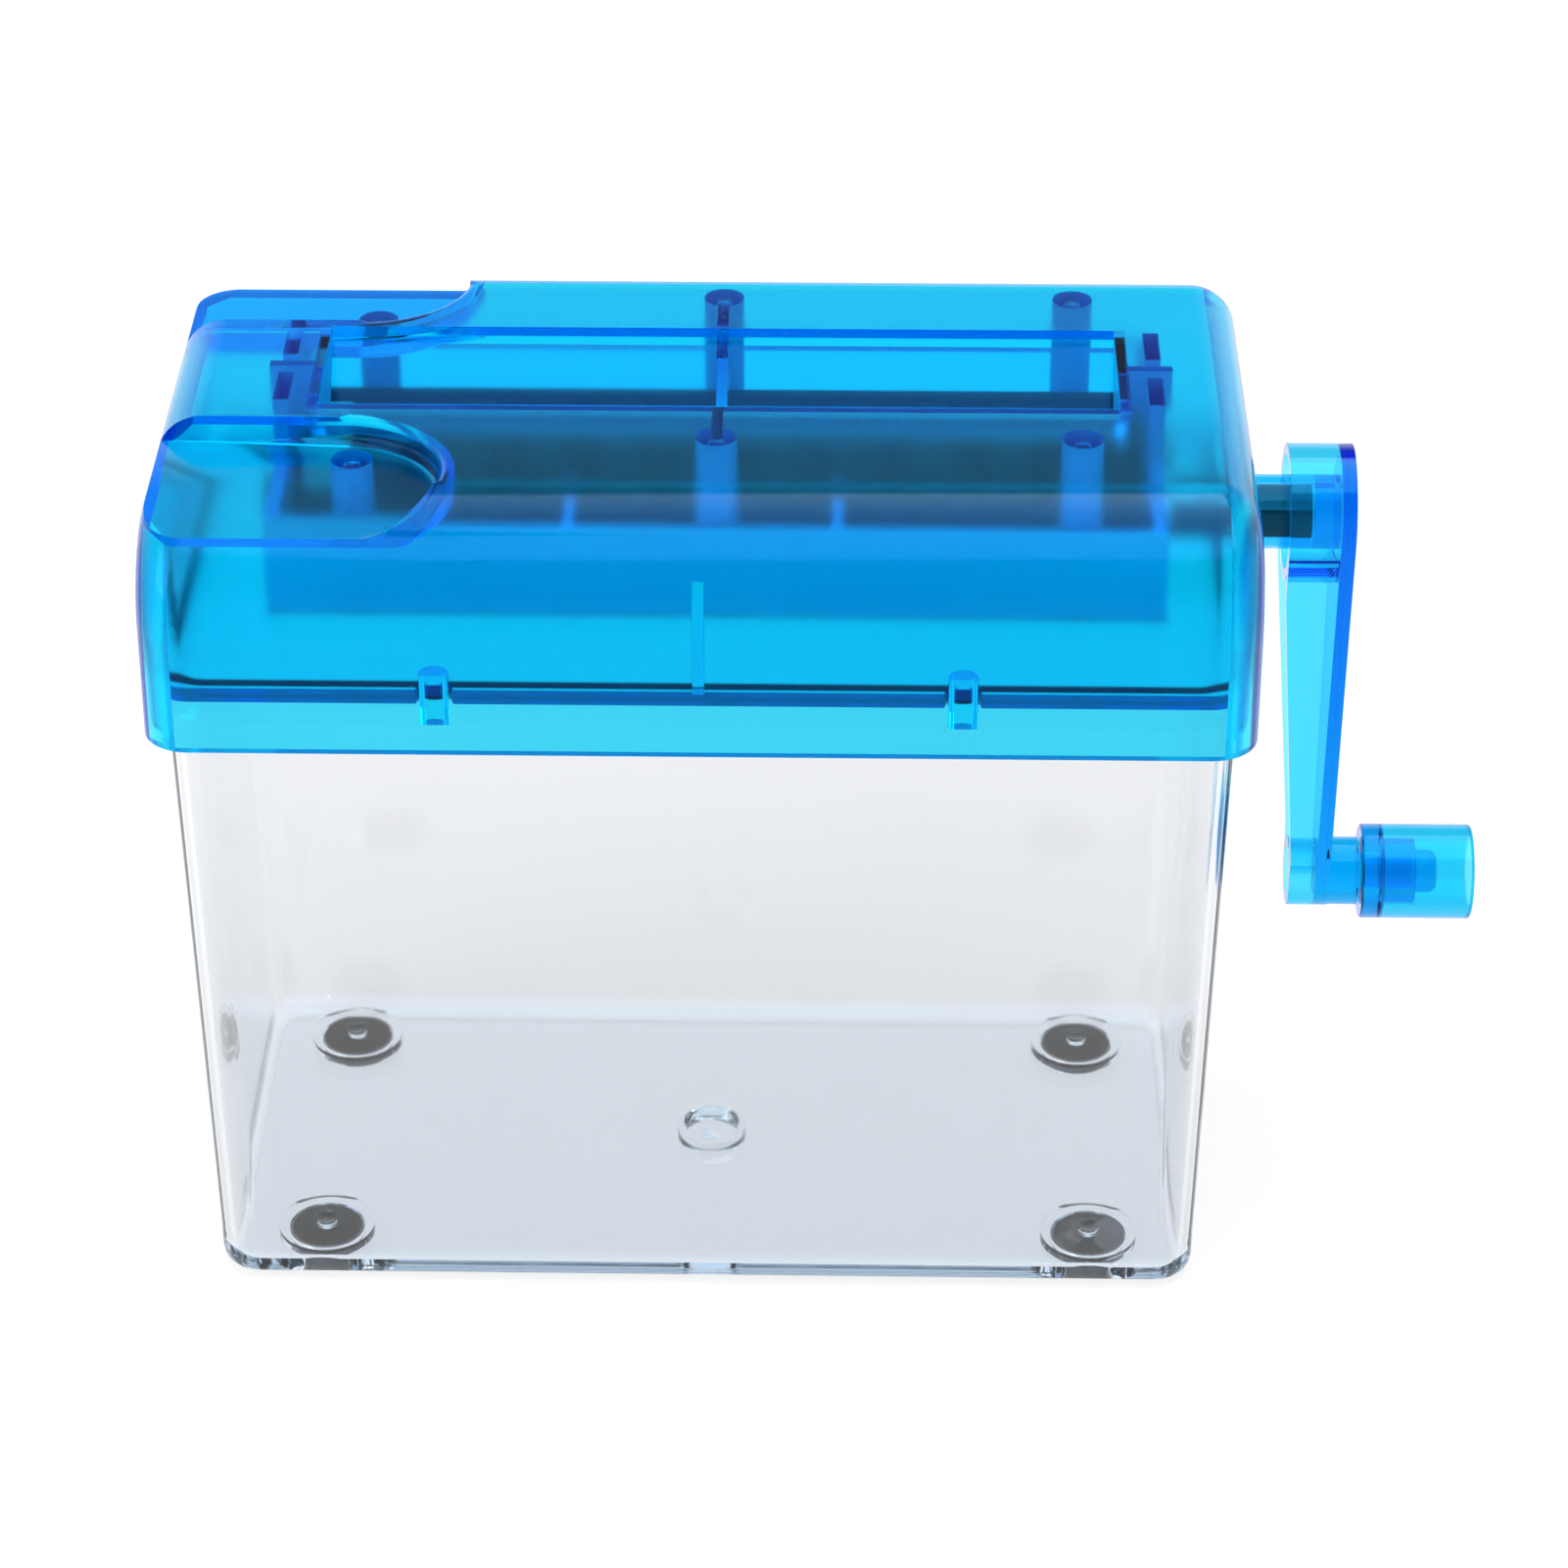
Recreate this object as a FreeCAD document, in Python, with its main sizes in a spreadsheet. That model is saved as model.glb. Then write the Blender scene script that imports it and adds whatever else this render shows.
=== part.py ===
# Hand-crank desk paper shredder: a frosted head that lifts off a clear bin.
# Millimetres, +Z up, +X towards the crank, -Y towards the user. The origin is
# the centre of the bin's underside; the foot pads stand a little below it.

import FreeCAD
import Part

import math
import operator
import os

import Sketcher

Vector = FreeCAD.Vector
Placement = FreeCAD.Placement
Rotation = FreeCAD.Rotation

ALONG_X = Rotation(Vector(0, 1, 0), 90)
UPRIGHT = Rotation()
HEX_SIDES = 6
PRESSURE_ANGLE = 20

doc = FreeCAD.newDocument("PaperShredder")
sheet = doc.addObject("Spreadsheet::Sheet", "Sizes")

# Driving dimensions, each written once. Places along X, Y and Z end in _x, _y and _z.
DRIVING = {
    # Bin
    "bin_side_gap": 0.57,
    "bin_front_gap": 3.52,
    "bin_height": 113.8,
    "bin_draft": 1.3,
    "bin_wall": 2.0,
    "bin_round": 7.0,
    "bin_inner_edge": 1.5,
    "gate_radius": 5.8,
    "gate_height": 2.4,
    # Foot pads in their cups
    "foot_side_inset": 16.95,
    "foot_front_inset": 11.0,
    "pad_radius": 6.1,
    "pad_thickness": 3.0,
    "pad_stand": 1.0,
    "pad_gap": 0.2,
    "cup_wall": 1.7,
    "cup_roof": 1.6,
    # Cover
    "skirt_width": 172.0,
    "skirt_depth": 95.0,
    "skirt_overlap": 7.6,
    "cover_height": 37.8,
    "cover_wall": 2.2,
    "front_round": 20.0,
    "edge_round": 7.5,
    "tool_overshoot": 5.0,
    "inner_end_bevel": 3.4,
    "scoop_depth": 4.4,
    "scoop_radius": 17.0,
    "scoop_end_inset": 29.0,
    "front_scoop_inset": 22.4,
    "back_scoop_inset": 4.1,
    "peg_x": 40.4,
    "peg_radius": 2.3,
    "peg_top": 3.1,
    "peg_drop": 3.1,
    "peg_inset": 3.0,
    # Feed slot and chute
    "slot_end_inset": 7.2,
    "slot_front_reach": 14.3,
    "slot_back_reach": 11.9,
    "throat_width": 6.0,
    "throat_drop": 12.2,
    "throat_run": 1.6,
    "lip_bevel": 1.8,
    "chute_wall": 1.8,
    "stay_length": 8.0,
    "stay_height": 6.8,
    "front_rib_depth": 3.0,
    "front_rib_top": 8.0,
    # Cutter frame
    "left_bay": 15.4,
    "right_bay": 11.4,
    "front_bay": 25.9,
    "back_bay": 1.7,
    "frame_wall": 2.5,
    "frame_height": 15.3,
    "frame_rib_x": 21.0,
    "frame_rib": 1.8,
    "plate_thickness": 2.5,
    "plate_gap": 0.9,
    "plate_corner": 4.5,
    # Screw posts and their sockets
    "post_end_inset": 13.4,
    "front_post_reach": 16.5,
    "back_post_inset": 3.7,
    "post_radius": 3.25,
    "socket_half": 3.8,
    "socket_height": 7.7,
    # Rollers
    "axis_rise": 5.6,
    "nip_back_inset": 35.2,
    "axis_spacing": 16.0,
    "hex_flats": 7.0,
    "hex_gap": 0.05,
    "end_collar": 4.3,
    "cutter_radius": 9.0,
    "cutter_root": 8.1,
    "cutter_thickness": 5.9,
    "cutter_side_gap": 0.3,
    "cutter_teeth": 8,
    "spacer_radius": 5.6,
    "end_play": 0.2,
    # Gears
    "gear_teeth": 12,
    "gear_width": 6.0,
    "gear_addendum": 1.2,
    "gear_dedendum": 1.55,
    "gear_backlash": 0.16,
    # Bushes and retaining clips
    "bush_radius": 5.0,
    "bush_gap": 0.05,
    "bush_length": 4.3,
    "bush_reach": 0.4,
    "tongue_gap": 0.25,
    "clip_radius": 5.2,
    "clip_thickness": 0.8,
    "clip_depth": 0.7,
    "shaft_overhang": 1.2,
    # Stripper combs
    "comb_bar": 2.4,
    "comb_bar_height": 12.4,
    "comb_gap": 0.9,
    "comb_reach": 5.6,
    "comb_drop": 7.7,
    "comb_spacer_gap": 0.4,
    "outlet_gap": 1.2,
    # Crank arm
    "crank_radius": 67.9,
    "hub_tube_radius": 6.0,
    "hub_tube_reach": 2.7,
    "hub_radius": 11.0,
    "hub_rim_stand": 6.6,
    "hub_bore_depth": 4.4,
    "shaft_end_gap": 0.4,
    "arm_depth": 8.3,
    "arm_plate": 2.2,
    "arm_wall": 1.8,
    "arm_end_radius": 5.8,
    "arm_slope": 3.8,
    "cover_hole_gap": 0.5,
    # Knob and its pin
    "pin_collar_radius": 5.7,
    "pin_collar_length": 5.1,
    "pin_radius": 3.0,
    "pin_head_radius": 3.6,
    "pin_head_length": 3.5,
    "knob_gap": 0.3,
    "knob_bore_gap": 0.08,
    "knob_radius": 7.9,
    "knob_length": 18.5,
    "knob_wall": 2.0,
    "knob_web": 3.4,
    "knob_boss_radius": 5.4,
    "knob_boss_length": 8.9,
}


class Size:
    """A length that carries both its value and the sheet formula behind it."""

    def __init__(self, value, formula):
        self.value = value
        self.formula = formula

    def __add__(self, other):
        return joined(self, other, "+", operator.add)

    def __radd__(self, other):
        return joined(other, self, "+", operator.add)

    def __sub__(self, other):
        return joined(self, other, "-", operator.sub)

    def __rsub__(self, other):
        return joined(other, self, "-", operator.sub)

    def __mul__(self, other):
        return joined(self, other, "*", operator.mul)

    def __rmul__(self, other):
        return joined(other, self, "*", operator.mul)

    def __truediv__(self, other):
        return joined(self, other, "/", operator.truediv)

    def __neg__(self):
        return joined(0, self, "-", operator.sub)


def as_size(item):
    """A bare number as a Size, and a Size as it is."""
    if isinstance(item, Size):
        return item
    return Size(float(item), f"({float(item):.9f})")


def joined(left, right, sign, rule):
    """The Size made by one arithmetic step."""
    left = as_size(left)
    right = as_size(right)
    return Size(rule(left.value, right.value), f"({left.formula} {sign} {right.formula})")


def fill_sheet():
    """Write every driving dimension into the sheet under its own alias."""
    for row, (alias, value) in enumerate(DRIVING.items(), start=1):
        sheet.set(f"A{row}", alias)
        sheet.set(f"B{row}", str(value))
        sheet.setAlias(f"B{row}", alias)
    doc.recompute()


fill_sheet()


def size(alias):
    """One driving dimension of the sheet."""
    return Size(float(sheet.get(alias)), f"Sizes.{alias}")


def count(alias):
    """One whole number of the sheet."""
    return int(round(float(sheet.get(alias))))


def bind(item, prop, length):
    """Tie one property of an object to the sheet."""
    item.setExpression(prop, as_size(length).formula)


def place(item, x, y, z, turn):
    """Tie an object's place to the sheet, with a fixed turn."""
    item.Placement = Placement(Vector(0, 0, 0), turn)
    bind(item, "Placement.Base.x", x)
    bind(item, "Placement.Base.y", y)
    bind(item, "Placement.Base.z", z)


def block(name, x_from, x_to, y_from, y_to, z_from, z_to):
    """A box between two corners."""
    item = doc.addObject("Part::Box", name)
    bind(item, "Length", x_to - x_from)
    bind(item, "Width", y_to - y_from)
    bind(item, "Height", z_to - z_from)
    place(item, x_from, y_from, z_from, UPRIGHT)
    return item


def post(name, x, y, z_from, z_to, radius):
    """An upright cylinder."""
    item = doc.addObject("Part::Cylinder", name)
    bind(item, "Radius", radius)
    bind(item, "Height", z_to - z_from)
    place(item, x, y, z_from, UPRIGHT)
    return item


def rod(name, x_from, x_to, y, z, radius):
    """A cylinder lying along X."""
    item = doc.addObject("Part::Cylinder", name)
    bind(item, "Radius", radius)
    bind(item, "Height", x_to - x_from)
    place(item, x_from, y, z, ALONG_X)
    return item


def hex_rod(name, x_from, x_to, y, z, flats):
    """A hexagon bar lying along X, with a corner straight up."""
    item = doc.addObject("Part::Prism", name)
    item.Polygon = HEX_SIDES
    bind(item, "Circumradius", flats / math.sqrt(3))
    bind(item, "Height", x_to - x_from)
    place(item, x_from, y, z, ALONG_X)
    return item


def fuse(name, items):
    """Several solids joined into one."""
    item = doc.addObject("Part::MultiFuse", name)
    item.Shapes = items
    item.Refine = True
    return item


def cut(name, base, tools):
    """A solid with one or more tools taken out of it."""
    item = doc.addObject("Part::Cut", name)
    item.Base = base
    item.Tool = tools[0] if len(tools) == 1 else fuse(name + "Tools", tools)
    return item


def common(name, first, second):
    """What two solids share."""
    item = doc.addObject("Part::Common", name)
    item.Base = first
    item.Tool = second
    return item


def group(name, items):
    """Separate solids kept in one piece of the list."""
    item = doc.addObject("Part::Compound", name)
    item.Links = items
    return item


def new_body(name):
    """An empty body for sketches and features."""
    return doc.addObject("PartDesign::Body", name)


def origin_part(body, role):
    """One of a body's own origin planes or axes."""
    return [item for item in body.Origin.OriginFeatures if item.Role == role][0]


def sketch_on(body, role, name, offset=0):
    """An empty sketch on one of a body's planes, moved along the plane's normal."""
    sketch = body.newObject("Sketcher::SketchObject", name)
    sketch.AttachmentSupport = [(origin_part(body, role), "")]
    sketch.MapMode = "FlatFace"
    bind(sketch, "AttachmentOffset.Base.z", offset)
    return sketch


def tie_point(sketch, curve, end, across, up):
    """Hold one point of a sketch at a place given by the sheet."""
    for kind, length in (("DistanceX", across), ("DistanceY", up)):
        length = as_size(length)
        number = sketch.addConstraint(Sketcher.Constraint(kind, -1, 1, curve, end, length.value))
        sketch.setExpression(f"Constraints[{number}]", length.formula)


def draw_polygon(sketch, points):
    """A closed outline of straight lines through the points."""
    points = [(as_size(across), as_size(up)) for across, up in points]
    first = sketch.GeometryCount
    for index, (across, up) in enumerate(points):
        next_across, next_up = points[(index + 1) % len(points)]
        start = Vector(across.value, up.value, 0)
        stop = Vector(next_across.value, next_up.value, 0)
        sketch.addGeometry(Part.LineSegment(start, stop))
    for index, (across, up) in enumerate(points):
        before = first + (index - 1) % len(points)
        sketch.addConstraint(Sketcher.Constraint("Coincident", before, 2, first + index, 1))
        tie_point(sketch, first + index, 1, across, up)


def ring_points(across, up, radii, start_angle):
    """Points evenly round a centre, one for each radius, from an angle in degrees."""
    points = []
    for index, radius in enumerate(radii):
        angle = math.radians(start_angle + 360 * index / len(radii))
        points.append((across + radius * math.cos(angle), up + radius * math.sin(angle)))
    return points


def draw_hexagon(sketch, across, up, flats):
    """A hexagon with a corner straight up."""
    corner = flats / math.sqrt(3)
    draw_polygon(sketch, ring_points(across, up, [corner] * HEX_SIDES, 90))


def draw_tapered_link(sketch, across, top, top_radius, bottom, bottom_radius):
    """Two round ends, one above the other, joined by straight tangent sides."""
    span = top.value - bottom.value
    lean = math.asin((top_radius.value - bottom_radius.value) / span)
    axis = Vector(0, 0, 1)
    top_circle = Part.Circle(Vector(across.value, top.value, 0), axis, top_radius.value)
    bottom_circle = Part.Circle(Vector(across.value, bottom.value, 0), axis, bottom_radius.value)
    upper = sketch.addGeometry(Part.ArcOfCircle(top_circle, -lean, math.pi + lean))
    lower = sketch.addGeometry(Part.ArcOfCircle(bottom_circle, math.pi + lean, 2 * math.pi - lean))
    arcs = sketch.Geometry
    left = sketch.addGeometry(Part.LineSegment(arcs[upper].EndPoint, arcs[lower].StartPoint))
    right = sketch.addGeometry(Part.LineSegment(arcs[lower].EndPoint, arcs[upper].StartPoint))
    for one, one_end, other, other_end in (
        (upper, 2, left, 1),
        (left, 2, lower, 1),
        (lower, 2, right, 1),
        (right, 2, upper, 1),
    ):
        sketch.addConstraint(Sketcher.Constraint("Tangent", one, one_end, other, other_end))
    for curve, up, radius in ((upper, top, top_radius), (lower, bottom, bottom_radius)):
        tie_point(sketch, curve, 3, across, up)
        number = sketch.addConstraint(Sketcher.Constraint("Radius", curve, radius.value))
        sketch.setExpression(f"Constraints[{number}]", radius.formula)


def pad(body, sketch, length, symmetric=False):
    """Raise a sketch along its plane's normal."""
    item = body.newObject("PartDesign::Pad", sketch.Name + "Pad")
    item.Profile = sketch
    bind(item, "Length", length)
    if symmetric:
        item.SideType = "Symmetric"
    return item


def pocket_through(body, sketch):
    """Cut a sketch through the whole body, both ways."""
    item = body.newObject("PartDesign::Pocket", sketch.Name + "Pocket")
    item.Profile = sketch
    item.Type = "ThroughAll"
    item.SideType = "Symmetric"
    return item


def repeat_along_x(body, feature, pitch, copies):
    """Repeat one feature, or the body so far, along X."""
    item = body.newObject("PartDesign::LinearPattern", feature.Name + "Row")
    item.Originals = [feature]
    item.Direction = (origin_part(body, "X_Axis"), [""])
    bind(item, "Length", pitch * (copies - 1))
    item.Occurrences = copies
    body.Tip = item
    return item


def round_edges(body, feature, radius, chosen):
    """Round those edges of a feature that a test picks by their place."""
    doc.recompute()
    edges = [f"Edge{i}" for i, edge in enumerate(feature.Shape.Edges, start=1) if chosen(edge)]
    item = body.newObject("PartDesign::Fillet", feature.Name + "Round")
    item.Base = (feature, edges)
    bind(item, "Radius", radius)
    return item


def near(one, other):
    """Whether two lengths agree."""
    return abs(one - other) < 1e-4


def upright(edge):
    """Whether an edge runs upwards."""
    return not near(edge.Vertexes[0].Z, edge.Vertexes[-1].Z)


def top_edge(top, side):
    """A test for the long top edge at one side of a block."""
    return lambda edge: near(edge.CenterOfMass.z, top.value) and near(edge.CenterOfMass.y, side.value)


def rectangle(half_width, half_depth):
    """The corners of a rectangle about the origin."""
    return [
        (-half_width, -half_depth),
        (half_width, -half_depth),
        (half_width, half_depth),
        (-half_width, half_depth),
    ]


# Places that several pieces share
plate_bottom = size("bin_height")
plate_top = plate_bottom + size("plate_thickness")
skirt_bottom = plate_bottom - size("skirt_overlap")
cover_top = skirt_bottom + size("cover_height")
cover_wall = size("cover_wall")
overshoot = size("tool_overshoot")
skirt_half_width = size("skirt_width") / 2
skirt_half_depth = size("skirt_depth") / 2
inner_half_width = skirt_half_width - cover_wall
inner_half_depth = skirt_half_depth - cover_wall
bin_slope = math.tan(math.radians(size("bin_draft").value))
bin_half_width = inner_half_width - size("bin_side_gap") - size("bin_height") * bin_slope
bin_half_depth = inner_half_depth - size("bin_front_gap") - size("bin_height") * bin_slope
scoop_floor = cover_top - size("scoop_depth")
scoop_end_x = size("scoop_end_inset") - skirt_half_width
throat_bottom = cover_top - size("throat_drop")
axis_z = plate_top + size("axis_rise")
nip_y = skirt_half_depth - size("nip_back_inset")
drive_y = nip_y - size("axis_spacing") / 2
idler_y = nip_y + size("axis_spacing") / 2
frame_top = plate_top + size("frame_height")
frame_left = size("left_bay") - inner_half_width
frame_right = inner_half_width - size("right_bay")
frame_front = drive_y - size("front_bay")
frame_back = inner_half_depth - size("back_bay")
frame_middle = (frame_left + frame_right) / 2
frame_length = frame_right - frame_left
frame_wall = size("frame_wall")
slot_length = frame_length - 2 * size("slot_end_inset")
slot_front = nip_y - size("slot_front_reach")
slot_back = nip_y + size("slot_back_reach")
socket_top = plate_top + size("socket_height")
front_post_y = drive_y - size("front_post_reach")
back_post_y = frame_back - frame_wall - size("back_post_inset")
hex_bore = size("hex_flats") + 2 * size("hex_gap")
left_bush_start = frame_left - size("bush_reach")
left_bush_end = left_bush_start + size("bush_length")
right_bush_end = frame_right + size("bush_reach")
right_bush_start = right_bush_end - size("bush_length")
left_clip_start = left_bush_start - size("end_play") - size("clip_thickness")
right_clip_start = right_bush_end + size("end_play")
shaft_start = left_clip_start - size("shaft_overhang")
idler_shaft_end = right_clip_start + size("clip_thickness") + size("shaft_overhang")
gear_start = left_bush_end + size("end_play")
gear_end = gear_start + size("gear_width")
cutter_pitch = 2 * (size("cutter_thickness") + size("cutter_side_gap"))
cutter_start = gear_end + size("end_collar")
idler_start = cutter_start + cutter_pitch / 2
row_room = right_bush_start - size("end_collar") - idler_start - size("cutter_thickness")
cutter_copies = int(row_room.value / cutter_pitch.value) + 1
cutter_row = cutter_pitch * (cutter_copies - 1)
hub_tube_start = skirt_half_width - size("hub_tube_reach")
hub_rim_x = skirt_half_width + size("hub_rim_stand")
hub_bore_end = hub_rim_x + size("hub_bore_depth")
arm_plate_x = hub_rim_x + size("arm_depth")
pin_collar_end = arm_plate_x + size("arm_plate") + size("pin_collar_length")
knob_z = axis_z - size("crank_radius")
foot_x = bin_half_width - size("foot_side_inset")
foot_y = bin_half_depth - size("foot_front_inset")
foot_places = [(side * foot_x, row * foot_y) for row in (-1, 1) for side in (-1, 1)]
post_step = frame_length / 2 - size("post_end_inset")
post_places = [
    (frame_middle + step * post_step, row) for row in (front_post_y, back_post_y) for step in (-1, 0, 1)
]
peg_y = size("peg_inset") - skirt_half_depth
peg_places = [(side * size("peg_x"), peg_y) for side in (-1, 1)]


def leaning_slab(name, plane, half_width, length, bottom, top):
    """A slab whose two long sides lean outwards by the bin's draft."""
    body = new_body(name)
    profile = sketch_on(body, plane, name + "Profile")
    lean = (top - bottom) * bin_slope
    draw_polygon(
        profile,
        [
            (-half_width, bottom),
            (half_width, bottom),
            (half_width + lean, top),
            (-half_width - lean, top),
        ],
    )
    return pad(body, profile, length, symmetric=True)


def bin_form(name, inset):
    """The bin's leaning block with sharp edges, drawn in by the inset on its sides and floor."""
    top = size("bin_height")
    reach = 2 * size("skirt_width")
    half_depth = bin_half_depth - inset
    half_width = bin_half_width - inset
    long_way = leaning_slab(name + "Long", "YZ_Plane", half_depth, reach, inset, top)
    short_way = leaning_slab(name + "Short", "XZ_Plane", half_width, reach, inset, top)
    return common(name, long_way, short_way)


def shaped_edges(kind, name, solid, amount, chosen):
    """A solid with the chosen edges rounded or bevelled by one amount."""
    doc.recompute()
    item = doc.addObject(kind, name)
    item.Base = solid
    numbered = enumerate(solid.Shape.Edges, start=1)
    item.Edges = [(number, amount, amount) for number, edge in numbered if chosen(edge)]
    return item


def make_bin():
    """Clear tub with four raised foot cups and a gate disc on the floor."""
    wall = size("bin_wall")
    bend = size("bin_round").value
    rim = size("bin_height").value
    floor = wall.value

    def below_rim(edge):
        return edge.BoundBox.ZMin < rim - bend

    def round_floor(edge):
        return near(edge.BoundBox.ZMin, floor) and near(edge.BoundBox.ZMax, floor)

    outer = shaped_edges("Part::Fillet", "BinOuter", bin_form("BinOuterForm", as_size(0)), bend, below_rim)
    block_inside = bin_form("BinInnerForm", wall)
    inside = shaped_edges("Part::Fillet", "BinInside", block_inside, bend - floor, upright)
    inner = shaped_edges("Part::Chamfer", "BinInner", inside, size("bin_inner_edge").value, round_floor)
    tub = cut("BinTub", outer, [inner])
    recess = size("pad_thickness") - size("pad_stand")
    seat = size("pad_radius") + size("pad_gap")
    below = -size("pad_thickness")
    middle = as_size(0)
    added = []
    wells = []
    for index, (across, back) in enumerate(foot_places):
        cup_top = recess + size("cup_roof")
        cup_radius = seat + size("cup_wall")
        added.append(post(f"Cup{index}", across, back, wall / 2, cup_top, cup_radius))
        wells.append(post(f"Well{index}", across, back, below, recess, seat))
    gate_top = wall + size("gate_height")
    added.append(post("GateDisc", middle, middle, wall / 2, gate_top, size("gate_radius")))
    return cut("Bin", fuse("BinWithCups", [tub] + added), wells)


def make_foot_pads():
    """Four soft discs, seated in the cups and standing out below them."""
    low = -size("pad_stand")
    high = low + size("pad_thickness")
    pads = []
    for index, (across, back) in enumerate(foot_places):
        pads.append(post(f"Pad{index}", across, back, low, high, size("pad_radius")))
    return group("FootPads", pads)


def cover_block(name, inset, bottom):
    """The cover's block with its long front rounding, drawn in by the inset."""
    body = new_body(name)
    profile = sketch_on(body, "YZ_Plane", name + "Profile")
    half_depth = skirt_half_depth - inset
    top = cover_top - inset
    draw_polygon(
        profile,
        [(-half_depth, bottom), (half_depth, bottom), (half_depth, top), (-half_depth, top)],
    )
    solid = pad(body, profile, size("skirt_width") - 2 * inset, symmetric=True)
    return body, round_edges(body, solid, size("front_round") - inset, top_edge(top, -half_depth))


def end_edges(bottom):
    """A test for the edges round both ends of the cover's block."""

    def chosen(edge):
        box = edge.BoundBox
        return near(box.XMin, box.XMax) and box.ZMax > bottom.value + 1e-3

    return chosen


def cover_form(name, inset):
    """The cover's rounded outside, drawn in by the inset."""
    body, solid = cover_block(name, inset, skirt_bottom)
    back_edge = top_edge(cover_top - inset, skirt_half_depth - inset)
    at_end = end_edges(skirt_bottom)
    radius = size("edge_round") - inset
    return round_edges(body, solid, radius, lambda edge: back_edge(edge) or at_end(edge))


def cover_cavity():
    """The hollow of the cover, open below, with plain bevels round its ends."""
    mouth = skirt_bottom - cover_wall
    body, solid = cover_block("CoverHollow", cover_wall, mouth)
    back_edge = top_edge(cover_top - cover_wall, inner_half_depth)
    solid = round_edges(body, solid, size("edge_round") - cover_wall, back_edge)
    doc.recompute()
    chosen = end_edges(mouth)
    numbered = enumerate(solid.Shape.Edges, start=1)
    bevel = body.newObject("PartDesign::Chamfer", "CoverHollowBevel")
    bevel.Base = (solid, [f"Edge{number}" for number, edge in numbered if chosen(edge)])
    bind(bevel, "Size", size("inner_end_bevel"))
    return cut("CoverCavity", bevel, both_scoops("InnerScoop", cover_wall))


def scoop(name, y, inset):
    """The round-ended hollow for the fingers at the left end, grown by the inset."""
    reach = size("scoop_radius") + inset
    low = scoop_floor - inset
    high = cover_top + overshoot
    far_left = -skirt_half_width - overshoot
    end = post(name + "End", scoop_end_x, y, low, high, reach)
    run = block(name + "Run", far_left, scoop_end_x, y - reach, y + reach, low, high)
    return fuse(name, [end, run])


def both_scoops(name, inset):
    """The front and back finger hollows."""
    return [
        scoop(name + "Front", size("front_scoop_inset") - skirt_half_depth, inset),
        scoop(name + "Back", skirt_half_depth - size("back_scoop_inset"), inset),
    ]


def chute_prism(name, grow, lip, top, bottom):
    """The funnel from the slot down to the throat, grown by a wall, as a solid."""
    body = new_body(name)
    outline = sketch_on(body, "YZ_Plane", name + "Outline", frame_middle)
    half_throat = size("throat_width") / 2
    throat_top = throat_bottom + size("throat_run")
    draw_polygon(
        outline,
        [
            (slot_front - grow - lip, top),
            (slot_front - grow - lip, cover_top),
            (slot_front - grow, cover_top - size("lip_bevel")),
            (slot_front - grow, cover_top - cover_wall),
            (nip_y - half_throat - grow, throat_top),
            (nip_y - half_throat - grow, bottom),
            (nip_y + half_throat + grow, bottom),
            (nip_y + half_throat + grow, throat_top),
            (slot_back + grow, cover_top - cover_wall),
            (slot_back + grow, top),
        ],
    )
    return pad(body, outline, slot_length + 2 * grow, symmetric=True)


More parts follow.
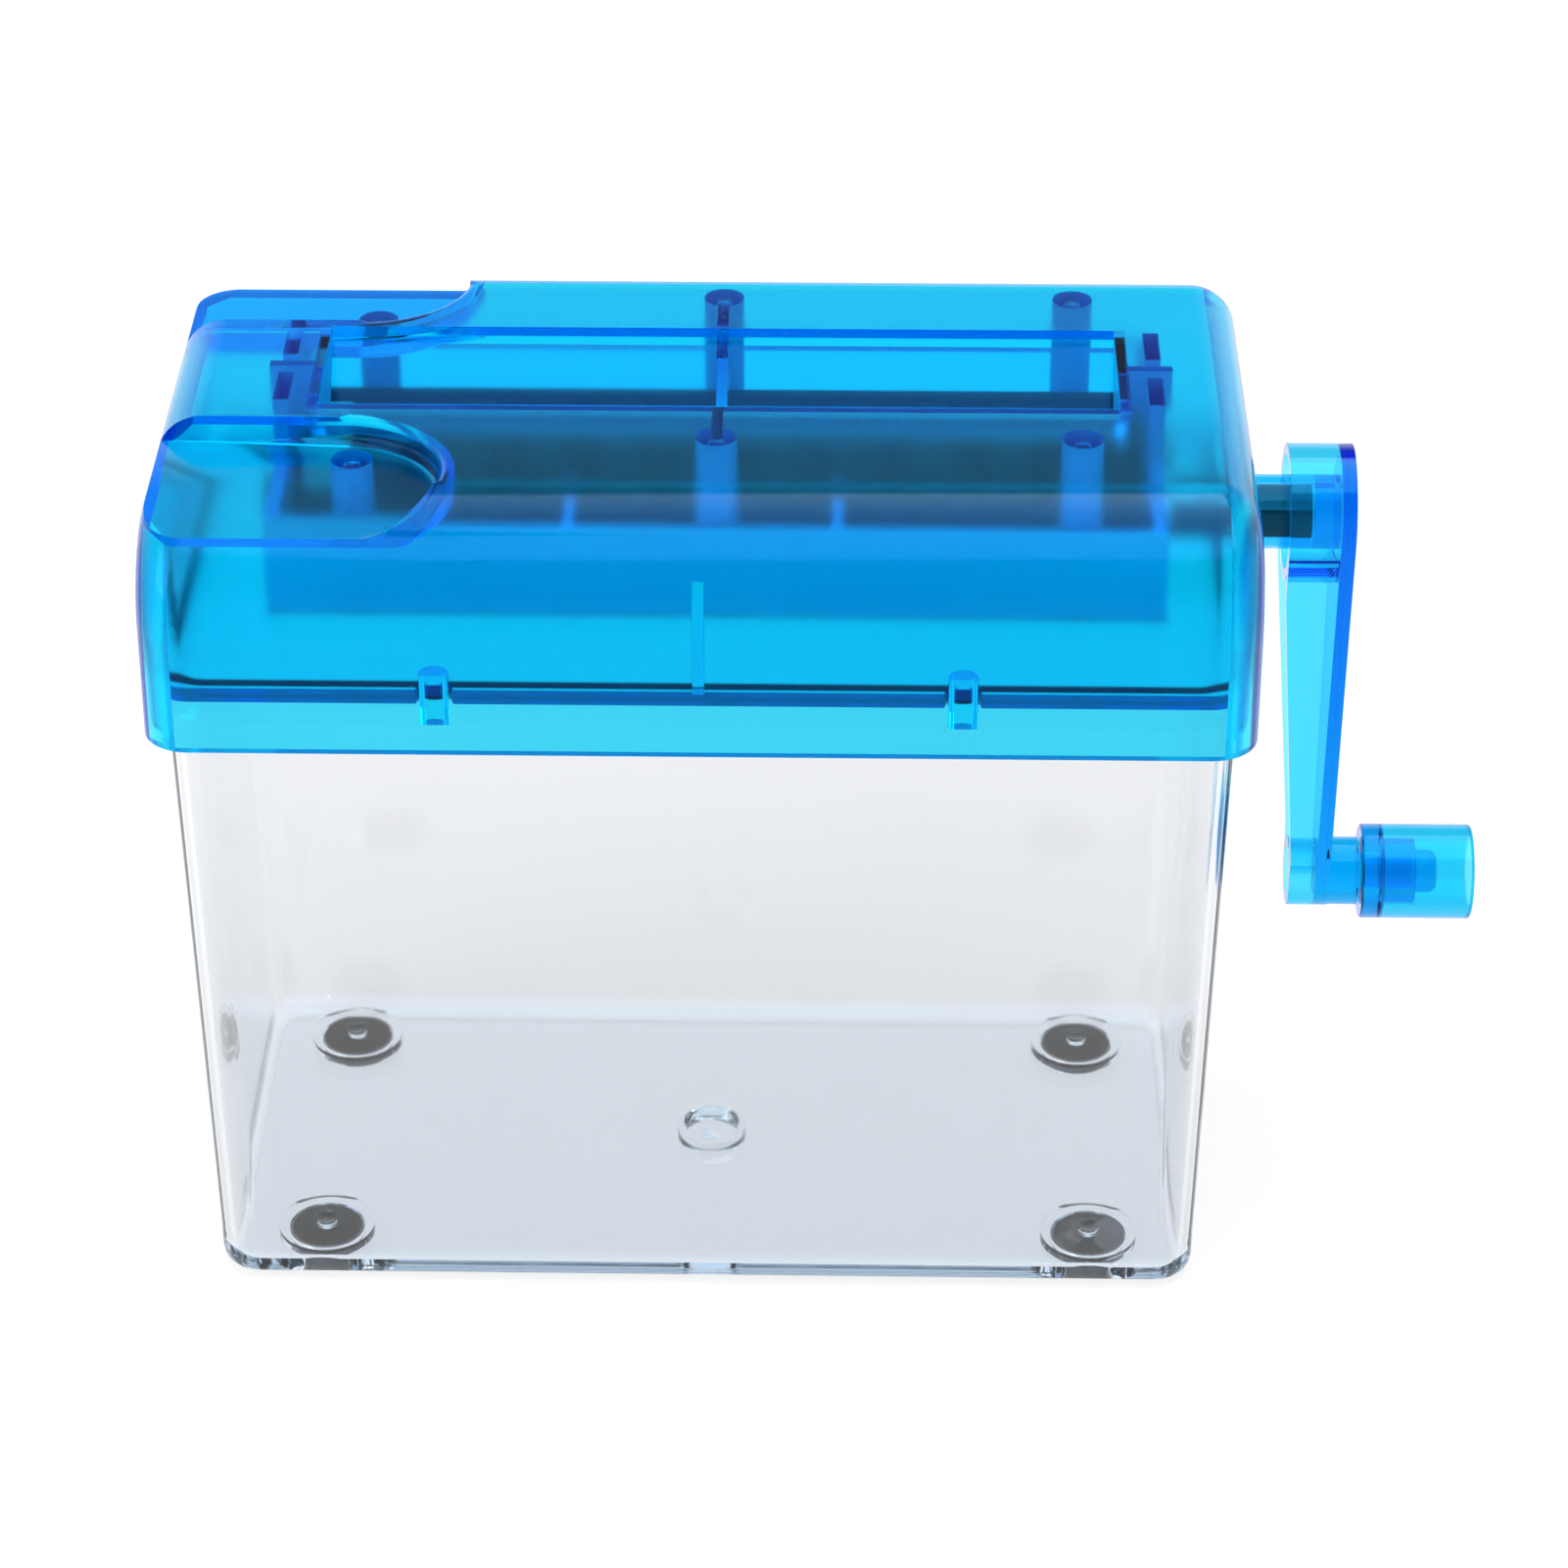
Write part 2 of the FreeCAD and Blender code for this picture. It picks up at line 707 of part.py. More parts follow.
def make_top_cover():
    """Frosted shell with its finger hollows, chute, screw posts, pegs and hold-down tongues."""
    outer = cover_form("CoverOuter", as_size(0))
    cavity = cover_cavity()
    middle = cover_form("CoverMiddle", cover_wall / 2)
    under_top = cover_top - cover_wall / 2
    lip = size("lip_bevel")
    inside = [chute_prism("ChuteBody", size("chute_wall"), lip, cover_top + lip, throat_bottom)]
    for index, (across, back) in enumerate(post_places):
        inside.append(post(f"Post{index}", across, back, socket_top, under_top, size("post_radius")))
    for index, (across, back) in enumerate(peg_places):
        low = plate_bottom - size("peg_drop")
        high = plate_top + size("peg_top")
        inside.append(post(f"Peg{index}", across, back, low, high, size("peg_radius")))
    bush_top = axis_z + size("bush_radius") + 2 * size("bush_gap")
    half_tongue = size("bush_radius") + size("bush_gap") - size("tongue_gap")
    for wall_start in (frame_left, frame_right - frame_wall):
        for back in (drive_y, idler_y):
            inside.append(
                block(
                    "Tongue",
                    wall_start,
                    wall_start + frame_wall,
                    back - half_tongue,
                    back + half_tongue,
                    bush_top,
                    under_top,
                )
            )
    half_rib = size("frame_rib") / 2
    rib_x = frame_middle
    inside.append(
        block(
            "BackGusset",
            rib_x - half_rib,
            rib_x + half_rib,
            nip_y + size("throat_width") / 2 + size("chute_wall") / 2,
            back_post_y,
            throat_bottom,
            under_top,
        )
    )
    inside.append(
        block(
            "FrontGusset",
            rib_x - half_rib,
            rib_x + half_rib,
            front_post_y,
            nip_y - size("throat_width") / 2 - size("chute_wall") / 2,
            throat_bottom,
            under_top,
        )
    )
    chute_half = slot_length / 2 + size("chute_wall") / 2
    stay_bottom = cover_top - cover_wall - size("stay_height")
    for side, reach in (("Left", -1), ("Right", 1)):
        near_end = frame_middle + reach * chute_half
        far_end = near_end + reach * size("stay_length")
        first, last = (far_end, near_end) if reach < 0 else (near_end, far_end)
        inside.append(
            block(side + "Stay", first, last, nip_y - half_rib, nip_y + half_rib, stay_bottom, under_top)
        )
    front_inner = -inner_half_depth
    inside.append(
        block(
            "FrontRib",
            -half_rib,
            half_rib,
            front_inner - cover_wall,
            front_inner + size("front_rib_depth"),
            plate_top + size("end_play"),
            cover_top - size("front_rib_top"),
        )
    )
    held = common("InnerDetail", fuse("InnerDetailAll", inside), middle)
    solid = fuse("CoverSolid", [cut("CoverShell", outer, [cavity]), held])
    removed = both_scoops("OuterScoop", as_size(0))
    removed.append(chute_prism("ChuteVoid", as_size(0), lip, cover_top + lip, throat_bottom - lip))
    hole = size("hub_tube_radius") + size("cover_hole_gap")
    hole_start = hub_tube_start - 2 * cover_wall
    hole_end = skirt_half_width + cover_wall
    removed.append(rod("ShaftHole", hole_start, hole_end, drive_y, axis_z, hole))
    return cut("TopCover", solid, removed)


def make_base_plate():
    """Plate under the mechanism: outlet, frame walls with bush notches, sockets and ribs."""
    body = new_body("PlateBody")
    outline = sketch_on(body, "XY_Plane", "PlateOutline", plate_bottom)
    gap = cover_wall + size("plate_gap")
    draw_polygon(outline, rectangle(skirt_half_width - gap, skirt_half_depth - gap))
    slab = pad(body, outline, size("plate_thickness"))
    plate = round_edges(body, slab, size("plate_corner"), upright)
    front, back = frame_front, frame_back
    low = plate_top - size("plate_thickness") / 2
    solids = [
        plate,
        block("FrontWall", frame_left, frame_right, front, front + frame_wall, low, frame_top),
        block("BackWall", frame_left, frame_right, back - frame_wall, back, low, frame_top),
        block("LeftWall", frame_left, frame_left + frame_wall, front, back, low, frame_top),
        block("RightWall", frame_right - frame_wall, frame_right, front, back, low, frame_top),
    ]
    half_rib = size("frame_rib") / 2
    comb_back = drive_y - size("cutter_radius") - size("comb_gap") - size("comb_bar")
    for side in (-1, 1):
        rib_x = side * size("frame_rib_x")
        rib_end = comb_back - size("comb_spacer_gap")
        solids.append(
            block("Rib", rib_x - half_rib, rib_x + half_rib, front, rib_end, low, frame_top)
        )
    half = size("socket_half")
    for index, (across, row) in enumerate(post_places):
        solids.append(
            block(
                f"Socket{index}",
                across - half,
                across + half,
                row - half,
                row + half,
                low,
                socket_top,
            )
        )
    removed = []
    side_play = frame_wall / 2
    seat = size("bush_radius") + size("bush_gap")
    for wall_start in (frame_left - side_play, frame_right - frame_wall - side_play):
        wall_end = wall_start + frame_wall + 2 * side_play
        for row in (drive_y, idler_y):
            removed.append(rod("BushSeat", wall_start, wall_end, row, axis_z, seat))
            removed.append(
                block(
                    "BushNotch",
                    wall_start,
                    wall_end,
                    row - seat,
                    row + seat,
                    axis_z,
                    frame_top + overshoot,
                )
            )
    outlet_reach = size("cutter_radius") + size("outlet_gap")
    removed.append(
        block(
            "Outlet",
            frame_left + frame_wall,
            frame_right - frame_wall,
            drive_y - outlet_reach,
            idler_y + outlet_reach,
            plate_bottom - overshoot,
            plate_top + overshoot,
        )
    )
    for index, (across, row) in enumerate(peg_places):
        notch = size("peg_radius") + size("plate_gap") / 2
        low, high = plate_bottom - overshoot, plate_top + overshoot
        removed.append(post(f"PegNotch{index}", across, row, low, high, notch))
    return cut("BasePlate", fuse("BaseSolid", solids), removed)


def make_comb(name, axis_y, side, start):
    """Stripper comb: a bar on the plate with one hooked finger between each two cutters."""
    body = new_body(name)
    bar_inner = axis_y + side * (size("cutter_radius") + size("comb_gap"))
    bar_outer = bar_inner + side * size("comb_bar")
    bar = sketch_on(body, "YZ_Plane", name + "Bar", frame_left + frame_wall + size("end_play"))
    bar_top = plate_top + size("comb_bar_height")
    draw_polygon(
        bar,
        [(bar_outer, plate_top), (bar_inner, plate_top), (bar_inner, bar_top), (bar_outer, bar_top)],
    )
    pad(body, bar, frame_length - 2 * frame_wall - 2 * size("end_play"))
    finger_start = start + size("cutter_thickness") + size("cutter_side_gap")
    finger = sketch_on(body, "YZ_Plane", name + "Finger", finger_start)
    high = axis_z + size("comb_reach")
    low = axis_z - size("comb_drop")
    hook = (size("spacer_radius") + size("comb_spacer_gap")) / math.cos(math.radians(15))
    hollow = []
    for angle in (-75, -45, -15, 15, 45):
        reach = side * math.cos(math.radians(angle))
        hollow.append((axis_y + hook * reach, axis_z + hook * math.sin(math.radians(angle))))
    first, last = hollow[0], hollow[-1]
    draw_polygon(
        finger,
        [(bar_inner, low), (first[0], low)] + hollow + [(last[0], high), (bar_inner, high)],
    )
    tooth = pad(body, finger, size("cutter_thickness"))
    repeat_along_x(body, tooth, cutter_pitch, cutter_copies - 1)
    return body


def make_shaft(name, axis_y, right_end):
    """Hexagon bar with flat notches for the retaining clips at the bushes."""
    bar = hex_rod(name + "Bar", shaft_start, right_end, axis_y, axis_z, size("hex_flats"))
    half_flats = size("hex_flats") / 2
    floor = half_flats - size("clip_depth")
    notches = []
    for end, start in (("Left", left_clip_start), ("Right", right_clip_start)):
        stop = start + size("clip_thickness")
        for face, inner, outer in (("Front", -half_flats, -floor), ("Back", floor, half_flats)):
            notches.append(
                block(
                    f"{name}{end}{face}Notch",
                    start,
                    stop,
                    axis_y + inner,
                    axis_y + outer,
                    axis_z - half_flats,
                    axis_z + half_flats,
                )
            )
    return cut(name, bar, notches)


def make_clip(name, start, axis_y):
    """Flat retaining clip, open at the bottom, that slides into a shaft's notches."""
    body = new_body(name)
    play = size("hex_gap")
    outline = sketch_on(body, "YZ_Plane", name + "Outline", start + play)
    reach = size("clip_radius")
    side = reach * math.cos(math.radians(30))
    bottom = axis_z - reach / 2
    grip = size("hex_flats") / 2 - size("clip_depth") + play
    crown = axis_z + size("hex_flats") / math.sqrt(3) + play
    shoulder = crown - grip * math.tan(math.radians(30))
    draw_polygon(
        outline,
        [
            (axis_y, axis_z + reach),
            (axis_y - side, axis_z + reach / 2),
            (axis_y - side, bottom),
            (axis_y - grip, bottom),
            (axis_y - grip, shoulder),
            (axis_y, crown),
            (axis_y + grip, shoulder),
            (axis_y + grip, bottom),
            (axis_y + side, bottom),
            (axis_y + side, axis_z + reach / 2),
        ],
    )
    pad(body, outline, size("clip_thickness") - 2 * play)
    return body


def make_clips(name, axis_y):
    """The two clips of one shaft."""
    left = make_clip(name + "Left", left_clip_start, axis_y)
    right = make_clip(name + "Right", right_clip_start, axis_y)
    return group(name, [left, right])


def make_cutters(name, axis_y, start):
    """A row of toothed cutter discs on the hexagon bar."""
    body = new_body(name)
    disc = sketch_on(body, "YZ_Plane", name + "Disc", start)
    radii = [size("cutter_radius"), size("cutter_root")] * count("cutter_teeth")
    draw_polygon(disc, ring_points(axis_y, axis_z, radii, 90))
    draw_hexagon(disc, axis_y, axis_z, hex_bore)
    first = pad(body, disc, size("cutter_thickness"))
    repeat_along_x(body, first, cutter_pitch, cutter_copies)
    return body


def spacer_tube(body, name, axis_y, start, length):
    """One hexagon tube on the hexagon bar."""
    ring = sketch_on(body, "YZ_Plane", name, start)
    draw_hexagon(ring, axis_y, axis_z, size("spacer_radius") * math.sqrt(3))
    draw_hexagon(ring, axis_y, axis_z, hex_bore)
    return pad(body, ring, length)


def make_spacers(name, axis_y, start):
    """Spacers between the cutters, and the collars that fill the row's two ends."""
    body = new_body(name)
    play = size("hex_gap")
    row_end = start + cutter_row + size("cutter_thickness")
    gap = cutter_pitch - size("cutter_thickness")
    first_start = start + size("cutter_thickness") + play
    first = spacer_tube(body, name + "First", axis_y, first_start, gap - 2 * play)
    repeat_along_x(body, first, cutter_pitch, cutter_copies - 1)
    spacer_tube(body, name + "Left", axis_y, gear_end + play, start - gear_end - 2 * play)
    right_length = right_bush_start - row_end - 2 * play
    spacer_tube(body, name + "Right", axis_y, row_end + play, right_length)
    return body


def involute(base, radius):
    """The involute's turn, in radians, where it reaches a radius."""
    if radius <= base:
        return 0.0
    pressure = math.acos(base / radius)
    return math.tan(pressure) - pressure


def make_gear(name, axis_y, turn):
    """Spur gear in mesh at rest: involute flanks, thinned at the pitch circle for backlash."""
    teeth = count("gear_teeth")
    pitch_radius = size("axis_spacing").value / 2
    base = pitch_radius * math.cos(math.radians(PRESSURE_ANGLE))
    tip = pitch_radius + size("gear_addendum").value
    root = pitch_radius - size("gear_dedendum").value
    half_pitch_angle = math.pi / (2 * teeth) - size("gear_backlash").value / (2 * pitch_radius)
    half_base_angle = half_pitch_angle + involute(base, pitch_radius)
    flank = [root, pitch_radius, tip]
    points = []
    for tooth in range(teeth):
        middle = turn + 2 * math.pi * tooth / teeth
        rising = [(radius, middle - half_base_angle + involute(base, radius)) for radius in flank]
        falling = [(radius, 2 * middle - angle) for radius, angle in reversed(rising)]
        points += rising + falling
    corners = [
        Vector(0, radius * math.cos(angle), radius * math.sin(angle)) for radius, angle in points
    ]
    width = Vector(size("gear_width").value, 0, 0)
    blank = Part.Face(Part.makePolygon(corners + corners[:1])).extrude(width)
    corner = hex_bore.value / math.sqrt(3)
    bore_points = ring_points(0, 0, [corner] * HEX_SIDES, 90)
    bore_corners = [Vector(0, across, up) for across, up in bore_points]
    bore = Part.Face(Part.makePolygon(bore_corners + bore_corners[:1])).extrude(width)
    gear = doc.addObject("Part::Feature", name)
    gear.Shape = blank.cut(bore)
    place(gear, gear_start, axis_y, axis_z, UPRIGHT)
    return gear


def make_bush(name, axis_y, start):
    """Bush, hexagon inside and round outside, that turns in a frame notch."""
    stop = start + size("bush_length")
    barrel = rod(name + "Barrel", start, stop, axis_y, axis_z, size("bush_radius"))
    bore = hex_rod(name + "Bore", start - overshoot, stop + overshoot, axis_y, axis_z, hex_bore)
    return cut(name, barrel, [bore])


def drum(name, start, stop, floor, z, radius, wall):
    """Round cup of the crank arm, open at its start."""
    outside = rod(name + "Outside", start, stop, drive_y, z, radius)
    inside = rod(name + "Inside", start - overshoot, floor, drive_y, z, radius - wall)
    return cut(name, outside, [inside])


def make_crank_arm():
    """Channel-shaped arm with a round cup at each end, hub tube, knob collar and headed pin."""
    body = new_body("CrankChannel")
    wall = size("arm_wall")
    plate_end = arm_plate_x + size("arm_plate")
    rim = sketch_on(body, "YZ_Plane", "ArmRim", hub_rim_x)
    hub, tip = size("hub_radius"), size("arm_end_radius")
    draw_tapered_link(rim, drive_y, axis_z, hub, knob_z, tip)
    draw_tapered_link(rim, drive_y, axis_z, hub - wall, knob_z, tip - wall)
    pad(body, rim, arm_plate_x - hub_rim_x)
    slope = sketch_on(body, "XZ_Plane", "ArmSlope")
    hub_bottom = axis_z - hub
    below = knob_z - 2 * tip
    draw_polygon(
        slope,
        [
            (hub_rim_x - overshoot, hub_bottom),
            (hub_rim_x, hub_bottom),
            (hub_rim_x + size("arm_slope"), knob_z + tip),
            (hub_rim_x + size("arm_slope"), below),
            (hub_rim_x - overshoot, below),
        ],
    )
    pocket_through(body, slope)
    face = sketch_on(body, "YZ_Plane", "ArmFace", arm_plate_x)
    draw_tapered_link(face, drive_y, axis_z, hub, knob_z, tip)
    pad(body, face, size("arm_plate"))
    neck_end = pin_collar_end + size("knob_boss_length") + 2 * size("knob_gap")
    head_end = neck_end + size("pin_head_length")
    inside_plate = arm_plate_x + size("arm_plate") / 2
    tube = rod("HubTube", hub_tube_start, inside_plate, drive_y, axis_z, size("hub_tube_radius"))
    hub_cup = drum("HubCup", hub_rim_x, inside_plate, arm_plate_x, axis_z, hub, wall)
    tip_rim_x = hub_rim_x + size("arm_slope")
    tip_cup = drum("TipCup", tip_rim_x, inside_plate, arm_plate_x, knob_z, tip, wall)
    collar_end = pin_collar_end
    collar = rod("PinCollar", inside_plate, collar_end, drive_y, knob_z, size("pin_collar_radius"))
    neck = rod("PinNeck", inside_plate, head_end, drive_y, knob_z, size("pin_radius"))
    head = rod("PinHead", neck_end, head_end, drive_y, knob_z, size("pin_head_radius"))
    solid = fuse("ArmSolid", [body, hub_cup, tip_cup, tube, collar, neck, head])
    bore = hex_rod("HubBore", hub_tube_start - overshoot, hub_bore_end, drive_y, axis_z, hex_bore)
    return cut("CrankArm", solid, [bore])


def make_knob():
    """Turning knob: a cup open at its outer end, with a bearing boss inside."""
    body = new_body("KnobBody")
    start = pin_collar_end + size("knob_gap")
    end = start + size("knob_length")
    web_end = start + size("knob_web")
    boss_end = start + size("knob_boss_length")
    bore = size("pin_radius") + size("knob_bore_gap")
    outer = size("knob_radius")
    inner = outer - size("knob_wall")
    half = sketch_on(body, "XZ_Plane", "KnobHalf", -drive_y)
    draw_polygon(
        half,
        [
            (start, knob_z + bore),
            (start, knob_z + outer),
            (end, knob_z + outer),
            (end, knob_z + inner),
            (web_end, knob_z + inner),
            (web_end, knob_z + size("knob_boss_radius")),
            (boss_end, knob_z + size("knob_boss_radius")),
            (boss_end, knob_z + bore),
        ],
    )
    ends = Vector(start.value, knob_z.value, 0), Vector(end.value, knob_z.value, 0)
    axis = half.addGeometry(Part.LineSegment(*ends), True)
    tie_point(half, axis, 1, start, knob_z)
    tie_point(half, axis, 2, end, knob_z)
    turned = body.newObject("PartDesign::Revolution", "KnobTurned")
    turned.Profile = half
    turned.ReferenceAxis = (half, ["Axis0"])
    turned.Angle = 360
    return body


HALF_TOOTH = math.pi / count("gear_teeth")

NODES = {
    "bin": make_bin(),
    "foot_pads": make_foot_pads(),
    "top_cover": make_top_cover(),
    "base_plate": make_base_plate(),
    "front_stripper_comb": make_comb("FrontComb", drive_y, -1, cutter_start),
    "rear_stripper_comb": make_comb("RearComb", idler_y, 1, idler_start),
    "drive_shaft": make_shaft("DriveShaft", drive_y, hub_bore_end - size("shaft_end_gap")),
    "drive_cutters": make_cutters("DriveCutters", drive_y, cutter_start),
    "drive_spacers": make_spacers("DriveSpacers", drive_y, cutter_start),
    "drive_gear": make_gear("DriveGear", drive_y, 0.0),
    "drive_left_bush": make_bush("DriveLeftBush", drive_y, left_bush_start),
    "drive_right_bush": make_bush("DriveRightBush", drive_y, right_bush_start),
    "drive_clips": make_clips("DriveClips", drive_y),
    "crank_arm": make_crank_arm(),
    "crank_knob": make_knob(),
    "idler_shaft": make_shaft("IdlerShaft", idler_y, idler_shaft_end),
    "idler_cutters": make_cutters("IdlerCutters", idler_y, idler_start),
    "idler_spacers": make_spacers("IdlerSpacers", idler_y, idler_start),
    "idler_gear": make_gear("IdlerGear", idler_y, HALF_TOOTH),
    "idler_left_bush": make_bush("IdlerLeftBush", idler_y, left_bush_start),
    "idler_right_bush": make_bush("IdlerRightBush", idler_y, right_bush_start),
    "idler_clips": make_clips("IdlerClips", idler_y),
}


def check_and_write():
    """Stop on any failed object, then write one file for each piece."""
    for label, item in NODES.items():
        item.Label = label
    doc.recompute()
    for item in doc.Objects:
        if "Invalid" in item.State or "Error" in item.State:
            raise RuntimeError(f"{item.Name} failed: {item.State}")
    os.makedirs("parts", exist_ok=True)
    for label, item in NODES.items():
        shape = item.Shape
        if shape.isNull() or not shape.isValid() or not shape.Solids:
            raise RuntimeError(f"{label} is not a valid solid")
        print(f"{label}: {len(shape.Solids)} solid(s), {shape.Volume / 1000:.2f} cm3")
    for label, item in NODES.items():
        item.Shape.exportStep(f"parts/{label}.step")


check_and_write()
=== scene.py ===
"""Looks of a small hand-crank paper shredder: a frosted blue head on a clear tapered bin."""

import logging
import math
from dataclasses import dataclass
from enum import Enum
from functools import partial
from typing import Callable, Union

import bmesh
import bpy
from mathutils import Matrix, Vector
from mathutils.bvhtree import BVHTree
from mathutils.geometry import area_tri


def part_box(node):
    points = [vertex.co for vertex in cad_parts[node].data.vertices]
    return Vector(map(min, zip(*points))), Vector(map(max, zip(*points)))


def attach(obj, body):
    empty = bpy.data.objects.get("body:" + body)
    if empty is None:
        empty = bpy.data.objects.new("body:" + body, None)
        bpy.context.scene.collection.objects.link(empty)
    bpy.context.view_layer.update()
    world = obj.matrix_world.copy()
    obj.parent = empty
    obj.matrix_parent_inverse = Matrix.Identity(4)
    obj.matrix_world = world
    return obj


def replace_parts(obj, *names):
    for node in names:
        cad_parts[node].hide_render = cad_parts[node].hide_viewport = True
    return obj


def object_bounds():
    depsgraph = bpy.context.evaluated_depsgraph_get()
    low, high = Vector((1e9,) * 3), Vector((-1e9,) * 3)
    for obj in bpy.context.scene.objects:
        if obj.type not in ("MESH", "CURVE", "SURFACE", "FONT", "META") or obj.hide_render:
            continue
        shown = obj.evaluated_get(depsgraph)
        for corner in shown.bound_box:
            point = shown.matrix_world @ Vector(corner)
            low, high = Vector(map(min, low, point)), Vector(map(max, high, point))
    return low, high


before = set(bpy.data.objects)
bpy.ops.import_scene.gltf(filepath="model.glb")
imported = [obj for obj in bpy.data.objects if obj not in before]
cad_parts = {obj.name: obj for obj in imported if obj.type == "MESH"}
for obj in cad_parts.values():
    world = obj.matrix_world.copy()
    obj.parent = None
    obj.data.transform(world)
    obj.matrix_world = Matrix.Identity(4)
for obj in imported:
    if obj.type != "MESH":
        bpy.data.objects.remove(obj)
CAD_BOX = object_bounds()

MM = 0.001
PHOTO_SIDE = 1601
MERGE_DISTANCE = 0.002 * MM
FLAT_ANGLE = math.radians(0.4)
SHARP_ANGLE = math.radians(28)
LOOK_START = 0.02 * MM
LOOK_REACH = 1.0
UP = Vector((0.0, 0.0, 1.0))
ROUND_SEGMENTS = 40
LEVEL_LIMIT = 0.999
AXIS_REACH = 0.3 * MM
ROUND_AREA = 230.0 * MM * MM

INNER_FACE = "inner_face"
MILKY_FACE = "milky_face"
NOISE_MIDDLE = 0.5
MIX_FACTOR, MIX_LOW, MIX_HIGH, MIX_RESULT = 0, 6, 7, 2
WHITE = (1.0, 1.0, 1.0, 1.0)

log = logging.getLogger("shredder")
Colour = tuple[float, float, float]
Shade = Union[Colour, bpy.types.NodeSocket]


class Body(Enum):
    """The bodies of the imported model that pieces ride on."""

    BIN = "bin"
    HEAD = "head"
    DRIVE = "drive"
    KNOB = "knob"
    IDLER = "idler"


class Value:
    """One number of a shader that adds Math nodes when it is used in an expression."""

    def __init__(self, tree: bpy.types.NodeTree, socket: bpy.types.NodeSocket) -> None:
        """Wrap one output socket of a node tree."""
        self.tree = tree
        self.socket = socket

    def step(self, operation: str, first: "Number", second: "Number") -> "Value":
        """Add one Math node.

        Args:
            operation: The Math node's operation.
            first: Its first operand.
            second: Its second operand.

        Returns:
            The node's result.
        """
        node = self.tree.nodes.new("ShaderNodeMath")
        node.operation = operation
        for entry, operand in zip(node.inputs, (first, second)):
            if isinstance(operand, Value):
                self.tree.links.new(operand.socket, entry)
            else:
                entry.default_value = operand
        return Value(self.tree, node.outputs[0])

    def __add__(self, other: "Number") -> "Value":
        """The sum with what stands on the right."""
        return self.step("ADD", self, other)

    def __radd__(self, other: "Number") -> "Value":
        """The sum with what stands on the left."""
        return self.step("ADD", other, self)

    def __sub__(self, other: "Number") -> "Value":
        """The difference with what stands on the right."""
        return self.step("SUBTRACT", self, other)

    def __rsub__(self, other: "Number") -> "Value":
        """The difference with what stands on the left."""
        return self.step("SUBTRACT", other, self)

    def __mul__(self, other: "Number") -> "Value":
        """The product with what stands on the right."""
        return self.step("MULTIPLY", self, other)

    def __rmul__(self, other: "Number") -> "Value":
        """The product with what stands on the left."""
        return self.step("MULTIPLY", other, self)

    def __truediv__(self, other: "Number") -> "Value":
        """The quotient with what stands on the right."""
        return self.step("DIVIDE", self, other)

    def __pow__(self, other: "Number") -> "Value":
        """The power with the exponent on the right."""
        return self.step("POWER", self, other)

    def clamped(self) -> "Value":
        """The value kept between nothing and one."""
        return self.step("MINIMUM", self.step("MAXIMUM", self, 0.0), 1.0)


Number = Union[Value, float]


